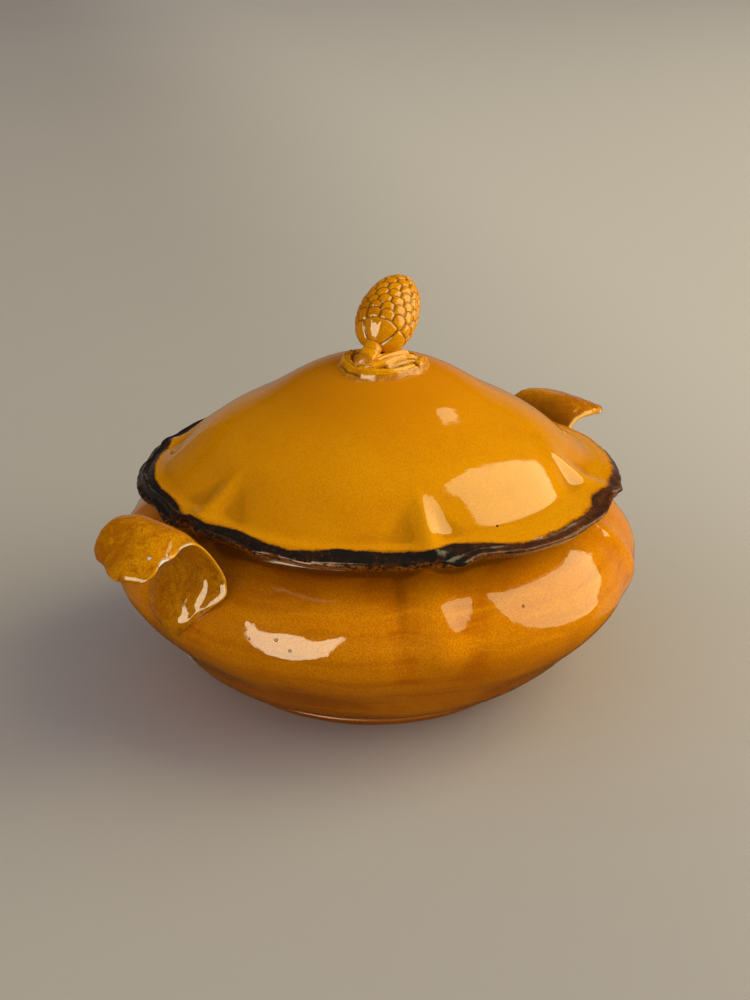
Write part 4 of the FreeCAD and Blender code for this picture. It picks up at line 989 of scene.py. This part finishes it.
# ---------------------------------------------------------------- pieces
PIECES = [
    (make_bowl(), "bowl", "tureen_bowl", "amber_glaze", bowl_glaze),
    (make_foot(), "bowl", "foot_ring", "foot_glaze", foot_glaze),
    (make_leaf("leaf_handle_left_glazed", LEFT_LINE, -1, 0.5, 0.5, 1.5, LEFT_CHIPS, 61, LEFT_NEAR, 3.2,
               ear=4.4),
     "bowl", "leaf_handle_left", "handle_glaze", handle_glaze),
    (make_leaf("leaf_handle_right_glazed", RIGHT_LINE, 1, 6.0, 0.5, -1.5, RIGHT_CHIPS, 71, LEAF_NEAR,
               blunt=0.36, thin=0.10, bead=0.45),
     "bowl", "leaf_handle_right", "handle_glaze", handle_glaze),
    (make_dome(), "lid", "lid_dome", "lid_glaze", lid_glaze),
    (make_rim(), "lid", "lid_rim", "dark_rim_glaze", rim_glaze),
    (make_flange(), "lid", "lid_flange", "lid_glaze", flange_glaze),
    (make_pad(), "lid", "finial_base", "finial_glaze", finial_glaze),
    (make_stem(), "lid", "finial_stem", "finial_glaze", finial_glaze),
    (make_cone(), "lid", "pine_cone", "finial_glaze", finial_glaze),
]
for obj, body, node, slot, material in PIECES:
    obj.data.materials.append(material)
    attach(obj, body)
    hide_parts(node)

# ---------------------------------------------------------------- floor, light, camera
floor_mesh = bpy.data.meshes.new("floor")
size, cells = 14.0, 24
ticks = np.linspace(-size / 2, size / 2, cells + 1)
corner = [(x, y, 0.0) for y in ticks for x in ticks]
floor_mesh.from_pydata(corner, [], [(j * (cells + 1) + i, j * (cells + 1) + i + 1,
                                     (j + 1) * (cells + 1) + i + 1, (j + 1) * (cells + 1) + i)
                                    for j in range(cells) for i in range(cells)])
floor = bpy.data.objects.new("floor", floor_mesh)
scene.collection.objects.link(floor)
ground = Graph("floor_matte")
shade = ground.mix(ground.noise(2.5, 4.0, 0.5), (0.352, 0.316, 0.306), (0.376, 0.340, 0.330))
# painted light: the floor is paler towards the right and the back, where the lamps light it more
spread = ground.new("ShaderNodeVectorMath", operation="DOT_PRODUCT")
ground.link(ground.object, spread.inputs[0])
spread.inputs[1].default_value = tuple(LEAN - FRONT * 0.25)
shade = ground.mix(ground.ramp(spread.outputs["Value"], -0.02, 0.42), shade, (0.50, 0.452, 0.432))
ground.link(shade, ground.bsdf.inputs["Base Color"])
ground.bsdf.inputs["Roughness"].default_value = 0.85
ground.bsdf.inputs["Specular IOR Level"].default_value = 0.2
ground.link(ground.bump(ground.noise(900.0, 3.0), 0.08, 0.0005), ground.bsdf.inputs["Normal"])
floor_mesh.materials.append(ground.material)
floor.visible_glossy = False

MIDDLE = np.array([0.0, 0.0, 0.085])


def towards(azimuth, elevation):
    """Direction by degrees to the right of the camera's side, and above level."""
    a, e = azimuth * RAD, elevation * RAD
    return (FRONT * math.cos(a) + LEAN * math.sin(a)) * math.cos(e) + UP * math.sin(e)


def softbox(name, outline, distance, radiance, colour, diffuse=True, glossy=True, fade=None):
    """Flat lamp whose corners are seen from the pot in the given directions."""
    rays = np.array([towards(*c) for c in outline])
    out = rays.mean(axis=0)
    out /= np.linalg.norm(out)
    co = MIDDLE + rays / (rays @ out)[:, None] * distance
    mesh = bpy.data.meshes.new(name)
    mesh.from_pydata(co.tolist(), [], [list(range(len(co)))])
    lamp = bpy.data.materials.new(name)
    lamp.use_nodes = True
    lamp.node_tree.nodes.clear()
    shine = lamp.node_tree.nodes.new("ShaderNodeEmission")
    shine.inputs["Color"].default_value = (*colour, 1.0)
    shine.inputs["Strength"].default_value = radiance
    if fade:
        # weaker towards the top
        where = lamp.node_tree.nodes.new("ShaderNodeNewGeometry")
        split = lamp.node_tree.nodes.new("ShaderNodeSeparateXYZ")
        step = lamp.node_tree.nodes.new("ShaderNodeMapRange")
        lamp.node_tree.links.new(where.outputs["Position"], split.inputs[0])
        lamp.node_tree.links.new(split.outputs[2], step.inputs["Value"])
        for key, value in (("From Min", fade[0]), ("From Max", fade[1]), ("To Min", 0.0), ("To Max", radiance)):
            step.inputs[key].default_value = value
        lamp.node_tree.links.new(step.outputs["Result"], shine.inputs["Strength"])
    end = lamp.node_tree.nodes.new("ShaderNodeOutputMaterial")
    lamp.node_tree.links.new(shine.outputs[0], end.inputs["Surface"])
    mesh.materials.append(lamp)
    obj = bpy.data.objects.new(name, mesh)
    scene.collection.objects.link(obj)
    obj.visible_camera = False
    obj.visible_shadow = False
    obj.visible_diffuse = diffuse
    obj.visible_glossy = glossy
    return obj


softbox("octabox_right", [(61, 28), (61, 46), (65, 57), (73, 64), (90, 67), (105, 66), (119, 60), (125, 49), (128, 40),
                          (131, 28), (130, 20), (125, 12), (116, 4), (108, -5), (99, -11), (90, -14), (80, -9),
                          (69, 3), (63, 15)],
        3.0, 3.3, (0.97, 0.92, 0.51))
softbox("softbox_front_left", [(-67, 37), (-59, 34), (-53, 26), (-43, 31), (-34, 30), (-27, 22), (-19, 34), (-11, 42),
                               (-15, 12), (-19, -8), (-27, -21), (-36, -30), (-48, -26), (-53, -5), (-57, 20)],
        3.0, 8.0, (1.0, 0.89, 0.60), diffuse=False)
softbox("top_fill", [(-150, 60), (-60, 50), (30, 60), (120, 70)], 3.0, 0.42, (1.0, 0.98, 0.97), glossy=False)
softbox("left_fill", [(-120, 2), (-40, 2), (-40, 40), (-120, 40)], 3.0, 1.02, (1.0, 0.98, 0.97), glossy=False)
softbox("front_fill", [(-40, 1), (60, 1), (60, 30), (-40, 30)], 3.0, 0.95, (1.0, 0.98, 0.97), glossy=False)
softbox("right_fill", [(60, 1), (130, 1), (130, 34), (60, 34)], 3.0, 2.7, (1.0, 0.98, 0.97), glossy=False)
for k, (a, b, glow) in enumerate(((105, 155, 0.24), (155, 205, 0.22), (205, 255, 0.07))):
    softbox("room_back_%d" % k, [(a, -30), (b, -30), (b, 20), (a, 20)], 3.0, glow, (1.0, 0.86, 0.70), diffuse=False,
            fade=(1.10, 0.15))

# even room light for matt surfaces, a dim room in the glaze's reflections
world = bpy.data.worlds.new("studio")
scene.world = world
world.use_nodes = True
tree = world.node_tree
tree.nodes.clear()
w_out = tree.nodes.new("ShaderNodeOutputWorld")
w_mix = tree.nodes.new("ShaderNodeMixShader")
w_path = tree.nodes.new("ShaderNodeLightPath")
for k, (colour, strength) in enumerate((((1.0, 0.975, 0.955), 0.39), ((1.0, 0.78, 0.45), 0.030))):
    w_bg = tree.nodes.new("ShaderNodeBackground")
    w_bg.inputs["Color"].default_value = (*colour, 1.0)
    w_bg.inputs["Strength"].default_value = strength
    tree.links.new(w_bg.outputs[0], w_mix.inputs[1 + k])
tree.links.new(w_path.outputs["Is Glossy Ray"], w_mix.inputs[0])
tree.links.new(w_mix.outputs[0], w_out.inputs["Surface"])

scene.view_settings.view_transform = "Standard"
scene.view_settings.look = "None"

cam_data = bpy.data.cameras.new("camera")
cam_data.sensor_width = 36.0
cam_data.sensor_fit = "AUTO"
cam_data.lens = 61.2
cam_data.clip_start, cam_data.clip_end = 0.02, 60.0
camera = bpy.data.objects.new("camera", cam_data)
camera.matrix_world = Matrix(((0.6947, 0.2751, -0.6647, -0.5197), (-0.7193, 0.2657, -0.6419, -0.5031),
                              (0.0, 0.9240, 0.3824, 0.3774), (0, 0, 0, 1)))
scene.collection.objects.link(camera)
scene.camera = camera
